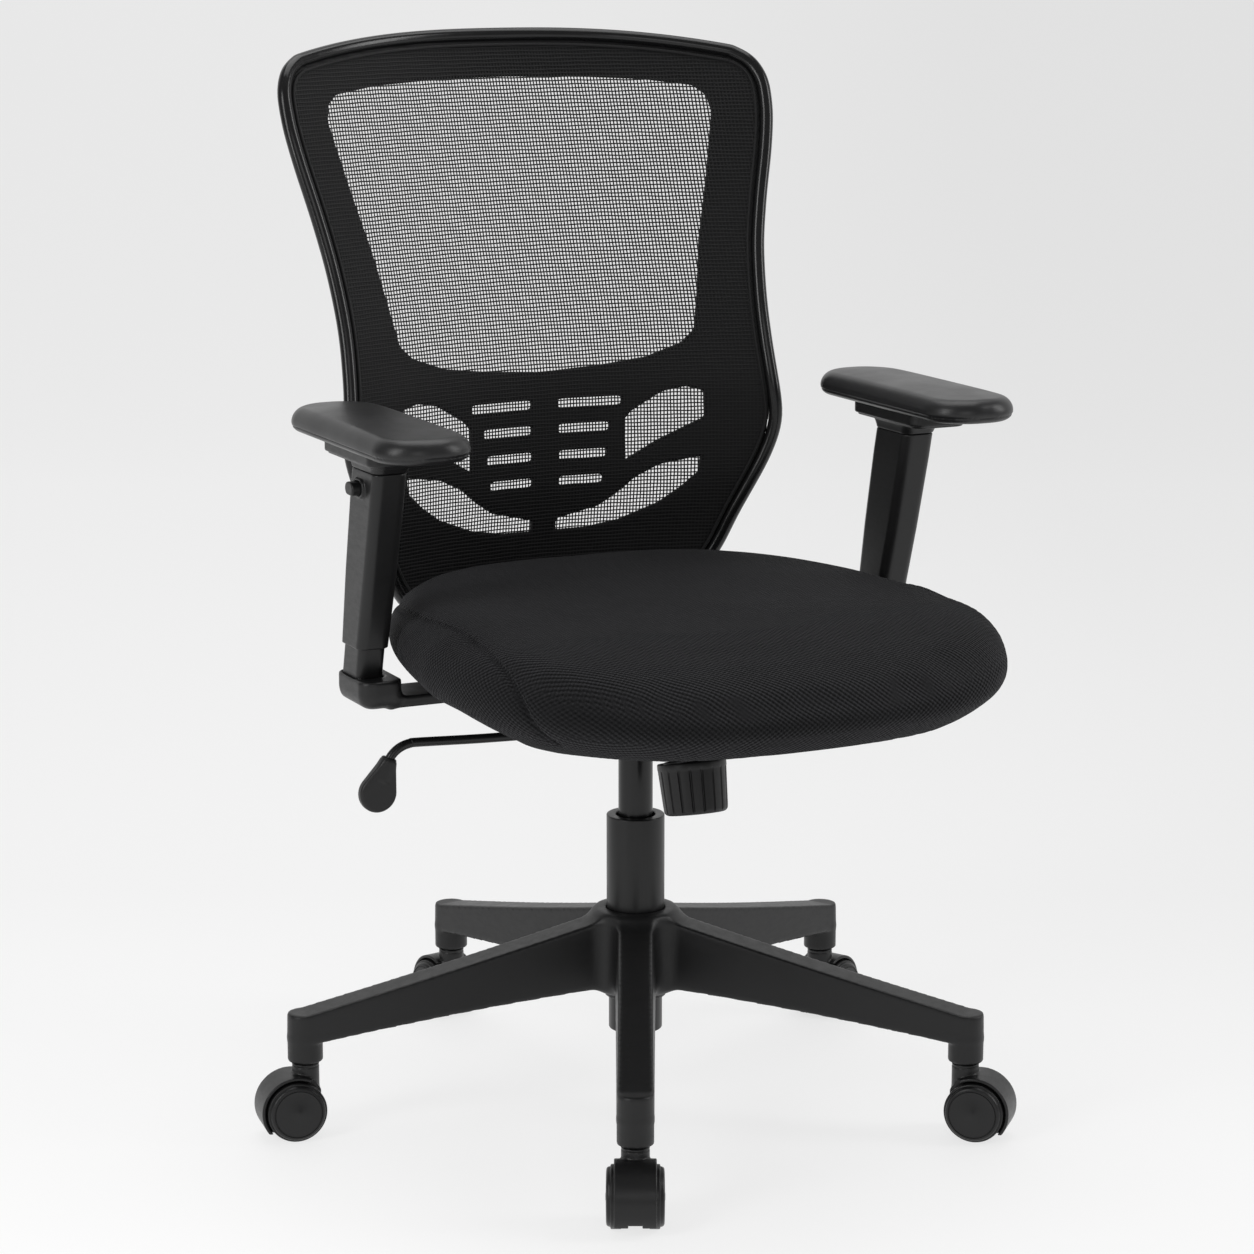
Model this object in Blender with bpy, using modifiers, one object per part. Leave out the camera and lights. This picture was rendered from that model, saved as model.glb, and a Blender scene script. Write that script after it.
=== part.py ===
"""Swivel office chair with a mesh back, height-adjustable arms, a gas lift and a five-star base.

Metres, +Z up. The seat faces -Y, the sitter's right is -X, the floor is z = 0 and the column
stands on x = y = 0. Every separate piece is its own closed solid, with a gap of at least 0.3 mm to its neighbours.
"""

import math

import bmesh
import bpy
from mathutils import Matrix, Vector

# ------------------------------------------------------------------ driving dimensions
OX, OY = 0.0165, 0.0066  # shift of the column axis that centres the whole box on the origin
GAP = 0.0003

# five-star base
LEGS = 5
LEG_TURN = math.radians(244.16)  # direction of the first leg
STEM_RADIUS = 0.317  # column axis to caster stem
HUB_R, HUB_TOP, HUB_BOTTOM = 0.0375, 0.1880, 0.1130
COLLAR_R, COLLAR_BOTTOM = 0.0290, 0.1030
LEG_TOP_IN, LEG_TOP_OUT = 0.1870, 0.1160
LEG_BOT_IN, LEG_BOT_OUT = 0.1180, 0.0880
LEG_HALF_IN, LEG_HALF_OUT = 0.0190, 0.0160
SOCKET_R, SOCKET_BOTTOM = 0.0158, 0.0700

# casters
WHEEL_R, WHEEL_IN, WHEEL_OUT = 0.0275, 0.0118, 0.0262
TRAIL = 0.0125
HOOD_R_IN, HOOD_R_OUT, HOOD_HALF = 0.0289, 0.0323, 0.0183
WEB_HALF = 0.0108
NECK_R, NECK_BOTTOM, NECK_TOP = 0.0125, 0.0540, 0.0692
STEM_R, STEM_TOP = 0.0055, 0.1070
AXLE_R = 0.0030

# gas lift
TUBE_R, TUBE_IN, TUBE_BOTTOM, TUBE_TOP = 0.0250, 0.0230, 0.0705, 0.2620
COVER_R, COVER_IN, COVER_BOTTOM, COVER_TOP = 0.0270, 0.0254, 0.1838, 0.2770
PISTON_R, PISTON_BOTTOM, PISTON_TOP = 0.0160, 0.1370, 0.3640
ROD_R, ROD_TOP = 0.0050, 0.2350

# mechanism
HOUSE_HALF = 0.0520
HOUSE_FRONT, HOUSE_REAR, HOUSE_TOP = -0.155, 0.045, 0.3860
HOUSE_DEEP, HOUSE_SHALLOW = 0.3500, 0.3655
BOSS_BOTTOM = 0.3370
PIVOT_Y, PIVOT_Z, PIVOT_R = -0.080, 0.3770, 0.0050
KNOB_AT = Vector((0.0020, -0.1160, 0.3290))
KNOB_LEAN = math.radians(13.0)
KNOB_R_TOP, KNOB_R_BOTTOM, KNOB_H, KNOB_CAVITY_R = 0.0312, 0.0288, 0.0470, 0.0272
SPRING_R, SPRING_WIRE = 0.0235, 0.0022
LEVER_Y, LEVER_Z = -0.0350, 0.3710
LEVER_R = 0.0042

# seat
SEAT_FRONT, SEAT_REAR, SEAT_WIDE_AT = -0.370, 0.182, -0.120
SEAT_HALF_FRONT, SEAT_HALF_REAR = 0.262, 0.215
SEAT_TOP, SEAT_BOTTOM = 0.4970, 0.4250
PAN_TOP, PAN_BOTTOM, PAN_INSET = 0.4245, 0.4175, 0.045
PLATE_TOP, PLATE_BOTTOM = 0.4170, 0.4110

# arms
ARM_X, ARM_Y, ARM_Z = 0.263, -0.0320, 0.6240  # centre of the sleeve's top
ARM_LEAN = 0.250  # forward lean of the post, per metre of height
BRACKET_BOTTOM, BRACKET_TOP = 0.4070, 0.4330
POST_HALF_X, POST_HALF_Y, POST_TOP = 0.0126, 0.0212, 0.5860
SLEEVE_BOTTOM, SLEEVE_TOP = 0.4600, 0.6240
PAD_HALF_X, PAD_HALF_Y, PAD_BOTTOM, PAD_TOP, PAD_CORNER = 0.0440, 0.1310, 0.6476, 0.6710, 0.038
PAD_X, PAD_Y = 0.267, -0.0420

# back: the front face follows y = centre line(z) - BACK_BOW * x^2
BACK_BOW = 1.10
BACK_TOP, BACK_BOTTOM = 0.9860, 0.4320
BACK_THICK = 0.0055
RIM_R = 0.0068
RIM_STEPS = 18

# ------------------------------------------------------------------ scene
for old in list(bpy.data.objects):
    bpy.data.objects.remove(old, do_unlink=True)
for old in list(bpy.data.collections):
    bpy.data.collections.remove(old)

PARTS = bpy.data.collections.new("swivel_office_chair")
CUTTERS = bpy.data.collections.new("cutters")
for made in (PARTS, CUTTERS):
    bpy.context.scene.collection.children.link(made)
CUTTERS.hide_render = True


def material(name, colour, roughness, metallic=0.0):
    mat = bpy.data.materials.new(name)
    mat.use_nodes = True
    shader = mat.node_tree.nodes["Principled BSDF"]
    shader.inputs["Base Color"].default_value = (*colour, 1.0)
    shader.inputs["Roughness"].default_value = roughness
    shader.inputs["Metallic"].default_value = metallic
    mat.diffuse_color = (*colour, 1.0)
    return mat


NYLON = (0.021, 0.021, 0.022)
DARK = (0.012, 0.012, 0.013)


def put(name, mesh, colour=NYLON, roughness=0.45, metallic=0.0, collection=None):
    obj = bpy.data.objects.new(name, mesh)
    (collection or PARTS).objects.link(obj)
    if collection is CUTTERS:
        obj.hide_render = True
        obj.display_type = "WIRE"
    else:
        if not mesh.materials:
            mesh.materials.append(material(name + "_mat", colour, roughness, metallic))
    return obj


def baked(obj):
    """The object's evaluated mesh, as a new mesh with its modifiers applied."""
    graph = bpy.context.evaluated_depsgraph_get()
    graph.update()
    mesh = bpy.data.meshes.new_from_object(obj.evaluated_get(graph))
    bm = bmesh.new()
    bm.from_mesh(mesh)
    bmesh.ops.remove_doubles(bm, verts=bm.verts, dist=1e-6)
    bmesh.ops.recalc_face_normals(bm, faces=bm.faces)
    bm.to_mesh(mesh)
    bm.free()
    return mesh


def drop(obj):
    bpy.data.objects.remove(obj, do_unlink=True)


def helper(mesh):
    return put("helper", mesh, collection=CUTTERS)


def box(size, at=(0, 0, 0), bevel=0.0, segments=2):
    """A cube scaled to size, with rounded edges."""
    bm = bmesh.new()
    bmesh.ops.create_cube(bm, size=1.0)
    for v in bm.verts:
        v.co = Vector((v.co.x * size[0] + at[0], v.co.y * size[1] + at[1], v.co.z * size[2] + at[2]))
    mesh = bpy.data.meshes.new("box")
    bm.to_mesh(mesh)
    bm.free()
    if bevel:
        obj = helper(mesh)
        mod = obj.modifiers.new("Bevel", "BEVEL")
        mod.width, mod.segments, mod.limit_method = bevel, segments, "NONE"
        mesh = baked(obj)
        drop(obj)
    return mesh


def rod(radius, low, high, sides=24, radius_low=None):
    """A cylinder or a cone along Z."""
    bm = bmesh.new()
    bmesh.ops.create_cone(
        bm, cap_ends=True, segments=sides, radius1=radius if radius_low is None else radius_low, radius2=radius, depth=high - low
    )
    bmesh.ops.translate(bm, verts=bm.verts, vec=(0, 0, (low + high) / 2))
    mesh = bpy.data.meshes.new("rod")
    bm.to_mesh(mesh)
    bm.free()
    return mesh


def turned(profile, sides=32, closed=False):
    """A profile of (radius, height), down its outer side, turned about Z."""
    points = list(profile) + ([profile[0]] if closed else [])
    mesh = bpy.data.meshes.new("turned")
    mesh.from_pydata([(r, 0.0, z) for r, z in points], [(i, i + 1) for i in range(len(points) - 1)], [])
    obj = helper(mesh)
    mod = obj.modifiers.new("Screw", "SCREW")
    mod.angle, mod.steps, mod.render_steps, mod.axis = math.tau, sides, sides, "Z"
    mod.use_merge_vertices, mod.merge_threshold = True, 0.00001
    mesh = baked(obj)
    drop(obj)
    return mesh


def moved(mesh, matrix):
    mesh.transform(matrix)
    return mesh


def cut(mesh, tools, operation="DIFFERENCE"):
    """Boolean of a mesh with each tool in turn; the tools are removed."""
    obj = helper(mesh)
    made = []
    for tool in tools:
        other = helper(tool)
        mod = obj.modifiers.new("Boolean", "BOOLEAN")
        mod.operation, mod.solver, mod.object = operation, "EXACT", other
        made.append(other)
    result = baked(obj)
    for one in [obj, *made]:
        drop(one)
    return result


def joined(mesh, others):
    return cut(mesh, others, "UNION")


def extruded(outline, low, high, axis="Z"):
    """A flat outline as a filled 2D curve, extruded from low to high along an axis."""
    data = bpy.data.curves.new("outline", "CURVE")
    data.dimensions, data.fill_mode = "2D", "BOTH"
    data.extrude = (high - low) / 2
    spline = data.splines.new("POLY")
    spline.points.add(len(outline) - 1)
    for point, (u, v) in zip(spline.points, outline):
        point.co = (u, v, 0.0, 1.0)
    spline.use_cyclic_u = True
    obj = bpy.data.objects.new("outline", data)
    CUTTERS.objects.link(obj)
    mesh = baked(obj)
    drop(obj)
    middle = (low + high) / 2
    if axis == "Z":
        turn = Matrix.Translation((0, 0, middle))
    elif axis == "X":  # (u, v) become (y, z)
        turn = Matrix.Translation((middle, 0, 0)) @ Matrix(((0, 0, 1, 0), (1, 0, 0, 0), (0, 1, 0, 0), (0, 0, 0, 1)))
    else:  # (u, v) become (x, z)
        turn = Matrix.Translation((0, middle, 0)) @ Matrix(((1, 0, 0, 0), (0, 0, -1, 0), (0, 1, 0, 0), (0, 0, 0, 1)))
    return moved(mesh, turn)


def tube(points, radius, resolution=2, cyclic=False):
    """A wire along points, as a mesh."""
    data = bpy.data.curves.new("wire", "CURVE")
    data.dimensions = "3D"
    data.bevel_depth, data.bevel_resolution, data.use_fill_caps = radius, resolution, not cyclic
    spline = data.splines.new("POLY")
    spline.points.add(len(points) - 1)
    for point, at in zip(spline.points, points):
        point.co = (*at, 1.0)
    spline.use_cyclic_u = cyclic
    obj = bpy.data.objects.new("wire", data)
    CUTTERS.objects.link(obj)
    mesh = baked(obj)
    drop(obj)
    return mesh


def node(name, mesh, pivot=None, parent=None, colour=NYLON, roughness=0.45, metallic=0.0, smooth=35.0):
    """A finished piece. Its mesh is in the column's frame; its origin goes on its pivot."""
    at = Vector(pivot) if pivot is not None else Vector((0, 0, 0))
    mesh.transform(Matrix.Translation(-at))
    mesh.name = name
    mesh.shade_smooth()
    mesh.set_sharp_from_angle(angle=math.radians(smooth))
    obj = put(name, mesh, colour, roughness, metallic)
    obj.location = at + Vector((OX, OY, 0))
    return obj


def rounded_rectangle(half_x, half_y, radius, steps=6, at=(0, 0)):
    out = []
    for k, (sx, sy) in enumerate(((1, 1), (-1, 1), (-1, -1), (1, -1))):
        for i in range(steps + 1):
            a = math.radians(90 * k + 90 * i / steps)
            out.append((at[0] + sx * (half_x - radius) + radius * math.cos(a), at[1] + sy * (half_y - radius) + radius * math.sin(a)))
    return out


# ------------------------------------------------------------------ base
def leg_frame(i):
    """Turns leg space, where the leg runs along +X, into the base's."""
    return Matrix.Rotation(LEG_TURN + math.tau * i / LEGS, 4, "Z")


def leg_mesh():
    bm = bmesh.new()
    bmesh.ops.create_cube(bm, size=1.0)
    for v in bm.verts:
        far, side, up = v.co.x > 0, v.co.y * 2, v.co.z > 0
        half = LEG_HALF_OUT if far else LEG_HALF_IN
        x = STEM_RADIUS if far else 0.012
        top = LEG_TOP_OUT if far else LEG_TOP_IN
        low = LEG_BOT_OUT if far else LEG_BOT_IN
        v.co = Vector((x, side * half * (0.86 if up else 1.0), top if up else low))
    long = [e for e in bm.edges if abs((e.verts[0].co - e.verts[1].co).x) > 0.1]
    bmesh.ops.bevel(bm, geom=long, offset=0.005, segments=1, profile=0.5, affect="EDGES")
    mesh = bpy.data.meshes.new("leg")
    bm.to_mesh(mesh)
    bm.free()
    end = turned(
        [
            (0, LEG_TOP_OUT),
            (SOCKET_R - 0.004, LEG_TOP_OUT),
            (SOCKET_R, LEG_TOP_OUT - 0.004),
            (SOCKET_R, SOCKET_BOTTOM + 0.003),
            (SOCKET_R - 0.003, SOCKET_BOTTOM),
            (0, SOCKET_BOTTOM),
        ],
        12,
    )
    return joined(mesh, [moved(end, Matrix.Translation((STEM_RADIUS, 0, 0)))])


hub = turned(
    [
        (0, HUB_TOP),
        (HUB_R - 0.008, HUB_TOP),
        (HUB_R - 0.002, HUB_TOP - 0.004),
        (HUB_R, HUB_TOP - 0.010),
        (HUB_R, HUB_BOTTOM + 0.004),
        (HUB_R - 0.004, HUB_BOTTOM),
        (COLLAR_R, HUB_BOTTOM),
        (COLLAR_R, COLLAR_BOTTOM + 0.001),
        (COLLAR_R - 0.001, COLLAR_BOTTOM),
        (0, COLLAR_BOTTOM),
    ],
    20,
)
base = joined(hub, [moved(leg_mesh(), leg_frame(i)) for i in range(LEGS)])
bores = [rod(TUBE_R + GAP, 0.09, 0.20, 20), rod(COVER_R + GAP, COVER_BOTTOM - GAP, 0.20, 20)]
for i in range(LEGS):
    bores.append(moved(rod(STEM_R + 0.0006, 0.060, 0.1085, 10), leg_frame(i) @ Matrix.Translation((STEM_RADIUS, 0, 0))))
base = cut(base, bores)
node("five_star_base", base, roughness=0.42)

# ------------------------------------------------------------------ casters
# Caster space: the stem is on Z, the wheels trail along +X and their axle is parallel to Y.
AXLE_Z = WHEEL_R
TO_AXLE = Matrix.Translation((TRAIL, 0, AXLE_Z)) @ Matrix.Rotation(math.radians(90), 4, "X")

shell = cut(
    moved(rod(HOOD_R_OUT, -HOOD_HALF, HOOD_HALF, 20), TO_AXLE),
    [
        moved(rod(HOOD_R_IN, -0.03, 0.03, 20), TO_AXLE),
        box((0.060, 0.08, 0.0665), (TRAIL - 0.030 - 0.0125, 0, 0.0222)),
        box((0.120, 0.08, 0.030), (0, 0, -0.0075)),
    ],
)
web = cut(
    moved(rod(HOOD_R_IN + 0.0012, -WEB_HALF, WEB_HALF, 20), TO_AXLE),
    [box((0.120, 0.08, 0.030), (0, 0, -0.0085)), box((0.02, 0.08, 0.08), (-NECK_R - 0.01, 0, 0.03))],
)
neck = turned(
    [
        (0, NECK_TOP),
        (NECK_R - 0.001, NECK_TOP),
        (NECK_R, NECK_TOP - 0.001),
        (NECK_R, NECK_BOTTOM),
        (0, NECK_BOTTOM),
    ],
    14,
)
hood_mesh = joined(shell, [web, neck])
hood_mesh = cut(
    hood_mesh,
    [rod(STEM_R + GAP, 0.0560, 0.080, 10), moved(rod(AXLE_R + GAP, -0.03, 0.03, 8), TO_AXLE)],
)
stem_mesh = rod(STEM_R, 0.0563, STEM_TOP, 10)
axle_mesh = moved(rod(AXLE_R, -0.0214, 0.0214, 8), TO_AXLE)
WHEEL_SIDES = 16
TREAD = WHEEL_R / math.cos(math.pi / WHEEL_SIDES)  # the flats of the tread, not its corners, are at WHEEL_R
wheel_out = moved(
    turned(
        [
            (0, WHEEL_OUT),
            (0.0238, WHEEL_OUT - 0.0010),
            (TREAD, 0.0212),
            (TREAD, WHEEL_IN),
            (AXLE_R + GAP, WHEEL_IN),
            (AXLE_R + GAP, 0.0218),
            (0, 0.0218),
        ],
        WHEEL_SIDES,
    ),
    TO_AXLE @ Matrix.Rotation(math.pi / WHEEL_SIDES, 4, "Z"),
)
for i in range(LEGS):
    to_leg = leg_frame(i) @ Matrix.Translation((STEM_RADIUS, 0, 0))
    stem_at = to_leg @ Vector((0, 0, 0.06))
    axle_at = to_leg @ Vector((TRAIL, 0, AXLE_Z))
    tag = f"caster_{i + 1}_"
    node(tag + "hood", moved(hood_mesh.copy(), to_leg), stem_at, roughness=0.40)
    node(tag + "stem", moved(stem_mesh.copy(), to_leg), stem_at, colour=(0.5, 0.5, 0.5), roughness=0.3, metallic=1.0)
    node(tag + "axle", moved(axle_mesh.copy(), to_leg), axle_at, colour=(0.5, 0.5, 0.5), roughness=0.3, metallic=1.0)
    node(tag + "wheel_a", moved(wheel_out.copy(), to_leg), axle_at, roughness=0.50)
    flip = to_leg @ Matrix.Translation((TRAIL, 0, 0)) @ Matrix.Rotation(math.pi, 4, "Z") @ Matrix.Translation((-TRAIL, 0, 0))
    node(tag + "wheel_b", moved(wheel_out.copy(), flip), axle_at, roughness=0.50)
for done in (hood_mesh, stem_mesh, axle_mesh, wheel_out):
    bpy.data.meshes.remove(done)

# ------------------------------------------------------------------ gas lift
node(
    "gas_lift_outer_tube",
    turned(
        [
            (TUBE_R, TUBE_TOP),
            (TUBE_R, TUBE_BOTTOM + 0.003),
            (TUBE_R - 0.002, TUBE_BOTTOM),
            (ROD_R + 0.0005, TUBE_BOTTOM),
            (ROD_R + 0.0005, TUBE_BOTTOM + 0.006),
            (TUBE_IN, TUBE_BOTTOM + 0.006),
            (TUBE_IN, TUBE_TOP),
        ],
        20,
        closed=True,
    ),
    roughness=0.35,
    metallic=0.3,
)
node(
    "column_cover_sleeve",
    turned(
        [
            (COVER_R - 0.001, COVER_TOP),
            (COVER_R, COVER_TOP - 0.001),
            (COVER_R, COVER_BOTTOM),
            (COVER_IN, COVER_BOTTOM),
            (COVER_IN, COVER_TOP - 0.0035),
            (0.0185, COVER_TOP - 0.0035),
            (0.0185, COVER_TOP),
        ],
        20,
        closed=True,
    ),
    roughness=0.38,
)
node(
    "gas_lift_guide_bush",
    turned(
        [
            (0.0245, 0.2658),
            (0.0245, 0.2623),
            (0.0226, 0.2623),
            (0.0226, 0.1900),
            (PISTON_R + 0.0004, 0.1900),
            (PISTON_R + 0.0004, 0.2658),
        ],
        20,
        closed=True,
    ),
    colour=(0.1, 0.1, 0.1),
    roughness=0.5,
)
node("gas_spring_rod", rod(ROD_R, 0.0725, ROD_TOP, 16), colour=(0.6, 0.6, 0.6), roughness=0.2, metallic=1.0)
node(
    "thrust_bearing",
    turned([(0.0195, 0.0850), (0.0195, 0.0768), (ROD_R + 0.0004, 0.0768), (ROD_R + 0.0004, 0.0850)], 24, closed=True),
    colour=(0.6, 0.6, 0.6),
    roughness=0.3,
    metallic=1.0,
)
node(
    "gas_spring_cylinder",
    turned(
        [
            (0, PISTON_TOP),
            (PISTON_R - 0.0015, PISTON_TOP),
            (PISTON_R, PISTON_TOP - 0.0015),
            (PISTON_R, PISTON_BOTTOM),
            (ROD_R + 0.0006, PISTON_BOTTOM),
            (ROD_R + 0.0006, 0.3000),
            (0, 0.3000),
        ],
        20,
    ),
    colour=DARK,
    roughness=0.25,
    metallic=0.4,
)

# ------------------------------------------------------------------ mechanism
house = extruded(
    [
        (HOUSE_REAR, HOUSE_TOP - 0.010),
        (HOUSE_REAR - 0.010, HOUSE_TOP),
        (HOUSE_FRONT + 0.006, HOUSE_TOP),
        (HOUSE_FRONT, HOUSE_TOP - 0.006),
        (HOUSE_FRONT, HOUSE_SHALLOW),
        (-0.072, HOUSE_SHALLOW),
        (-0.052, HOUSE_DEEP),
        (HOUSE_REAR - 0.010, HOUSE_DEEP),
        (HOUSE_REAR, HOUSE_DEEP + 0.010),
    ],
    -HOUSE_HALF,
    HOUSE_HALF,
    "X",
)
boss = rod(0.0330, BOSS_BOTTOM, HOUSE_DEEP + 0.006, 20, radius_low=0.0205)
house = joined(house, [boss])
to_pivot = Matrix.Translation((0, PIVOT_Y, PIVOT_Z)) @ Matrix.Rotation(math.radians(90), 4, "Y")
to_knob = Matrix.Translation(KNOB_AT) @ Matrix.Rotation(-KNOB_LEAN, 4, "X")
house = cut(
    house,
    [
        rod(PISTON_R + GAP, 0.30, PISTON_TOP + GAP, 20),
        moved(rod(PIVOT_R + GAP, -0.08, 0.08, 16), to_pivot),
        moved(rod(0.0045 + GAP, 0.0, 0.0520, 16), to_knob),
    ],
)
node("tilt_mechanism_housing", house, roughness=0.4, metallic=0.5, colour=DARK)
node(
    "tilt_pivot_shaft",
    moved(rod(PIVOT_R, -0.0660, 0.0660, 16), to_pivot),
    (0, PIVOT_Y, PIVOT_Z),
    colour=(0.5, 0.5, 0.5),
    roughness=0.3,
    metallic=1.0,
)
# bolt along the knob's axis, its head inside the knob
node(
    "tension_bolt",
    moved(
        turned([(0, 0.0505), (0.0045, 0.0505), (0.0045, -0.0080), (0.0090, -0.0080), (0.0090, -0.0130), (0, -0.0130)], 16),
        to_knob,
    ),
    KNOB_AT,
    colour=(0.5, 0.5, 0.5),
    roughness=0.3,
    metallic=1.0,
)


def knob_mesh(sides=32):
    """A cup, open above, with grooves down its outer side."""
    half = KNOB_H / 2
    mesh = turned(
        [
            (0, half),
            (KNOB_R_TOP - 0.0012, half),
            (KNOB_R_TOP, half - 0.0012),
            (KNOB_R_TOP - 0.0004, half - 0.009),
            (KNOB_R_BOTTOM, -half + 0.004),
            (KNOB_R_BOTTOM - 0.004, -half),
            (0, -half),
        ],
        sides,
    )
    bm = bmesh.new()
    bm.from_mesh(mesh)
    for v in bm.verts:
        r = math.hypot(v.co.x, v.co.y)
        if r < KNOB_R_BOTTOM - 0.001 or abs(v.co.z) > half - 0.003:
            continue
        if round(math.atan2(v.co.y, v.co.x) / math.tau * sides) % 4 == 0:
            v.co.x *= 1 - 0.0013 / r
            v.co.y *= 1 - 0.0013 / r
    bm.to_mesh(mesh)
    bm.free()
    return cut(mesh, [rod(KNOB_CAVITY_R, -half + 0.0095, half + 0.01, 24)])


node("tension_knob", moved(knob_mesh(), to_knob), KNOB_AT, roughness=0.5)

turns, per_turn = 3.5, 10
coil = []
for k in range(int(turns * per_turn) + 1):
    a = math.tau * k / per_turn
    z = -0.0112 + (0.0284 + 0.0112) * k / (turns * per_turn)
    coil.append(to_knob @ Vector((SPRING_R * math.cos(a), SPRING_R * math.sin(a), z)))
node("tension_spring", tube(coil, SPRING_WIRE, 1), KNOB_AT, colour=(0.05, 0.05, 0.05), roughness=0.4, metallic=0.8)

# lever: a bush at the housing's side slides out, the rod in it lifts
bush_at = (-0.0630, LEVER_Y, LEVER_Z)
to_bush = Matrix.Translation(bush_at) @ Matrix.Rotation(math.radians(90), 4, "Y")
node(
    "lever_bush",
    moved(turned([(0.0110, 0.0095), (0.0110, -0.0095), (0.0066, -0.0095), (0.0066, 0.0095)], 20, closed=True), to_bush),
    bush_at,
    roughness=0.5,
)
END = Vector((-0.2480, LEVER_Y, 0.3775))
TIP = Vector((-0.2600, LEVER_Y - 0.001, 0.3640))
path = [Vector((-0.0550, LEVER_Y, LEVER_Z - 0.0006)), Vector((-0.1000, LEVER_Y, LEVER_Z + 0.0010)), Vector((-0.2300, LEVER_Y, 0.3775))]
corner = Vector((-0.2500, LEVER_Y, 0.3786))
for k in range(1, 6):  # a rounded bend
    t = k / 6
    path.append((1 - t) ** 2 * path[2] + 2 * t * (1 - t) * corner + t * t * TIP)
path.append(TIP)
node("control_lever_rod", tube(path, LEVER_R, 2), bush_at, roughness=0.35, metallic=0.5, colour=DARK)


def paddle_mesh():
    """A flat drop, narrow at the rod and wide at its foot, with rounded edges."""
    along = Vector((-0.36, 0.0, -0.93)).normalized()
    across = Vector((along.z, 0.0, -along.x))
    out = []
    for k in range(24):
        a = math.tau * k / 24
        t = (1 - math.cos(a)) / 2
        w = 0.0052 + 0.0125 * t**1.3
        out.append((0.0470 * t, w * math.sin(a)))
    mesh = extruded(out, -0.0052, 0.0052)
    obj = helper(mesh)
    mod = obj.modifiers.new("Bevel", "BEVEL")
    mod.width, mod.segments, mod.limit_method, mod.angle_limit = 0.0022, 1, "ANGLE", math.radians(60)
    mesh = baked(obj)
    drop(obj)
    start = TIP + along * 0.0006
    frame = Matrix(
        (
            (along.x, across.x, 0, start.x),
            (along.y, across.y, -1, start.y),
            (along.z, across.z, 0, start.z),
            (0, 0, 0, 1),
        )
    )
    return moved(mesh, frame)


paddle = cut(paddle_mesh(), [tube([TIP + Vector((0.004, 0, 0.006)), TIP, TIP + Vector((-0.0010, 0, -0.0014))], LEVER_R + 0.0004, 3)])
node("control_lever_paddle", paddle, bush_at, roughness=0.4)


# ------------------------------------------------------------------ seat
def seat_outline(inset=0.0, count=36, front=2.7, rear=3.0):
    """A superellipse in two halves, wide in front and narrowing to the rear."""
    out = []
    for k in range(count):
        a = math.tau * k / count
        c, s = math.cos(a), math.sin(a)
        n = front if s < 0 else rear
        reach = (SEAT_WIDE_AT - SEAT_FRONT if s < 0 else SEAT_REAR - SEAT_WIDE_AT) - inset
        y = SEAT_WIDE_AT + math.copysign(reach * abs(s) ** (2 / n), s)
        wide = SEAT_HALF_FRONT
        if s > 0:
            wide += (SEAT_HALF_REAR - SEAT_HALF_FRONT) * (y - SEAT_WIDE_AT) / reach
        out.append((math.copysign((wide - inset) * abs(c) ** (2 / n), c), y))
    return out


def layered(layers, outline_of, count):
    """A closed form from outlines at rising heights, a loft between unlike sections."""
    bm = bmesh.new()
    rings = []
    for inset, height, lift in layers:
        points = outline_of(inset, count)
        ring = []
        for x, y in points:
            ring.append(bm.verts.new((x, y, height + (lift(x, y) if lift else 0.0))))
        rings.append(ring)
    for low, high in zip(rings, rings[1:]):
        for i in range(count):
            j = (i + 1) % count
            bm.faces.new((low[i], low[j], high[j], high[i]))
    bm.faces.new(list(reversed(rings[0])))
    top = rings[-1]
    cx = sum(v.co.x for v in top) / count
    cy = sum(v.co.y for v in top) / count
    cz = sum(v.co.z for v in top) / count
    mid = bm.verts.new((cx, cy, cz))
    for i in range(count):
        bm.faces.new((top[i], top[(i + 1) % count], mid))
    mesh = bpy.data.meshes.new("layered")
    bmesh.ops.recalc_face_normals(bm, faces=bm.faces)
    bm.to_mesh(mesh)
    bm.free()
    return mesh


def waterfall(x, y):
    """How far the top falls away towards the front edge."""
    t = max(0.0, (-0.20 - y) / 0.17)
    return -0.034 * t * t


def half_fall(x, y):
    return 0.5 * waterfall(x, y)


T = SEAT_TOP - SEAT_BOTTOM
cushion = layered(
    [
        (0.030, SEAT_BOTTOM, None),
        (0.012, SEAT_BOTTOM + 0.06 * T, None),
        (0.002, SEAT_BOTTOM + 0.28 * T, None),
        (0.000, SEAT_BOTTOM + 0.50 * T, half_fall),
        (0.004, SEAT_BOTTOM + 0.72 * T, half_fall),
        (0.016, SEAT_BOTTOM + 0.89 * T, waterfall),
        (0.038, SEAT_BOTTOM + 0.97 * T, waterfall),
        (0.080, SEAT_TOP, waterfall),
    ],
    seat_outline,
    36,
)
node("seat_cushion", cushion, colour=(0.010, 0.010, 0.011), roughness=0.9)
node("seat_pan", extruded(seat_outline(PAN_INSET, 40), PAN_BOTTOM, PAN_TOP), roughness=0.6)

plate = box((0.140, 0.190, PLATE_TOP - PLATE_BOTTOM), (0, -0.015, (PLATE_TOP + PLATE_BOTTOM) / 2), 0.0012, 1)
flanges = [box((0.005, 0.050, 0.0480), (s * 0.0570, PIVOT_Y, 0.3900), 0.0012, 1) for s in (-1, 1)]
plate = joined(plate, flanges)
plate = cut(plate, [moved(rod(PIVOT_R + GAP, -0.08, 0.08, 16), to_pivot)])
node("seat_mounting_plate", plate, (0, PIVOT_Y, PIVOT_Z), colour=DARK, roughness=0.4, metallic=0.7)

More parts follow.
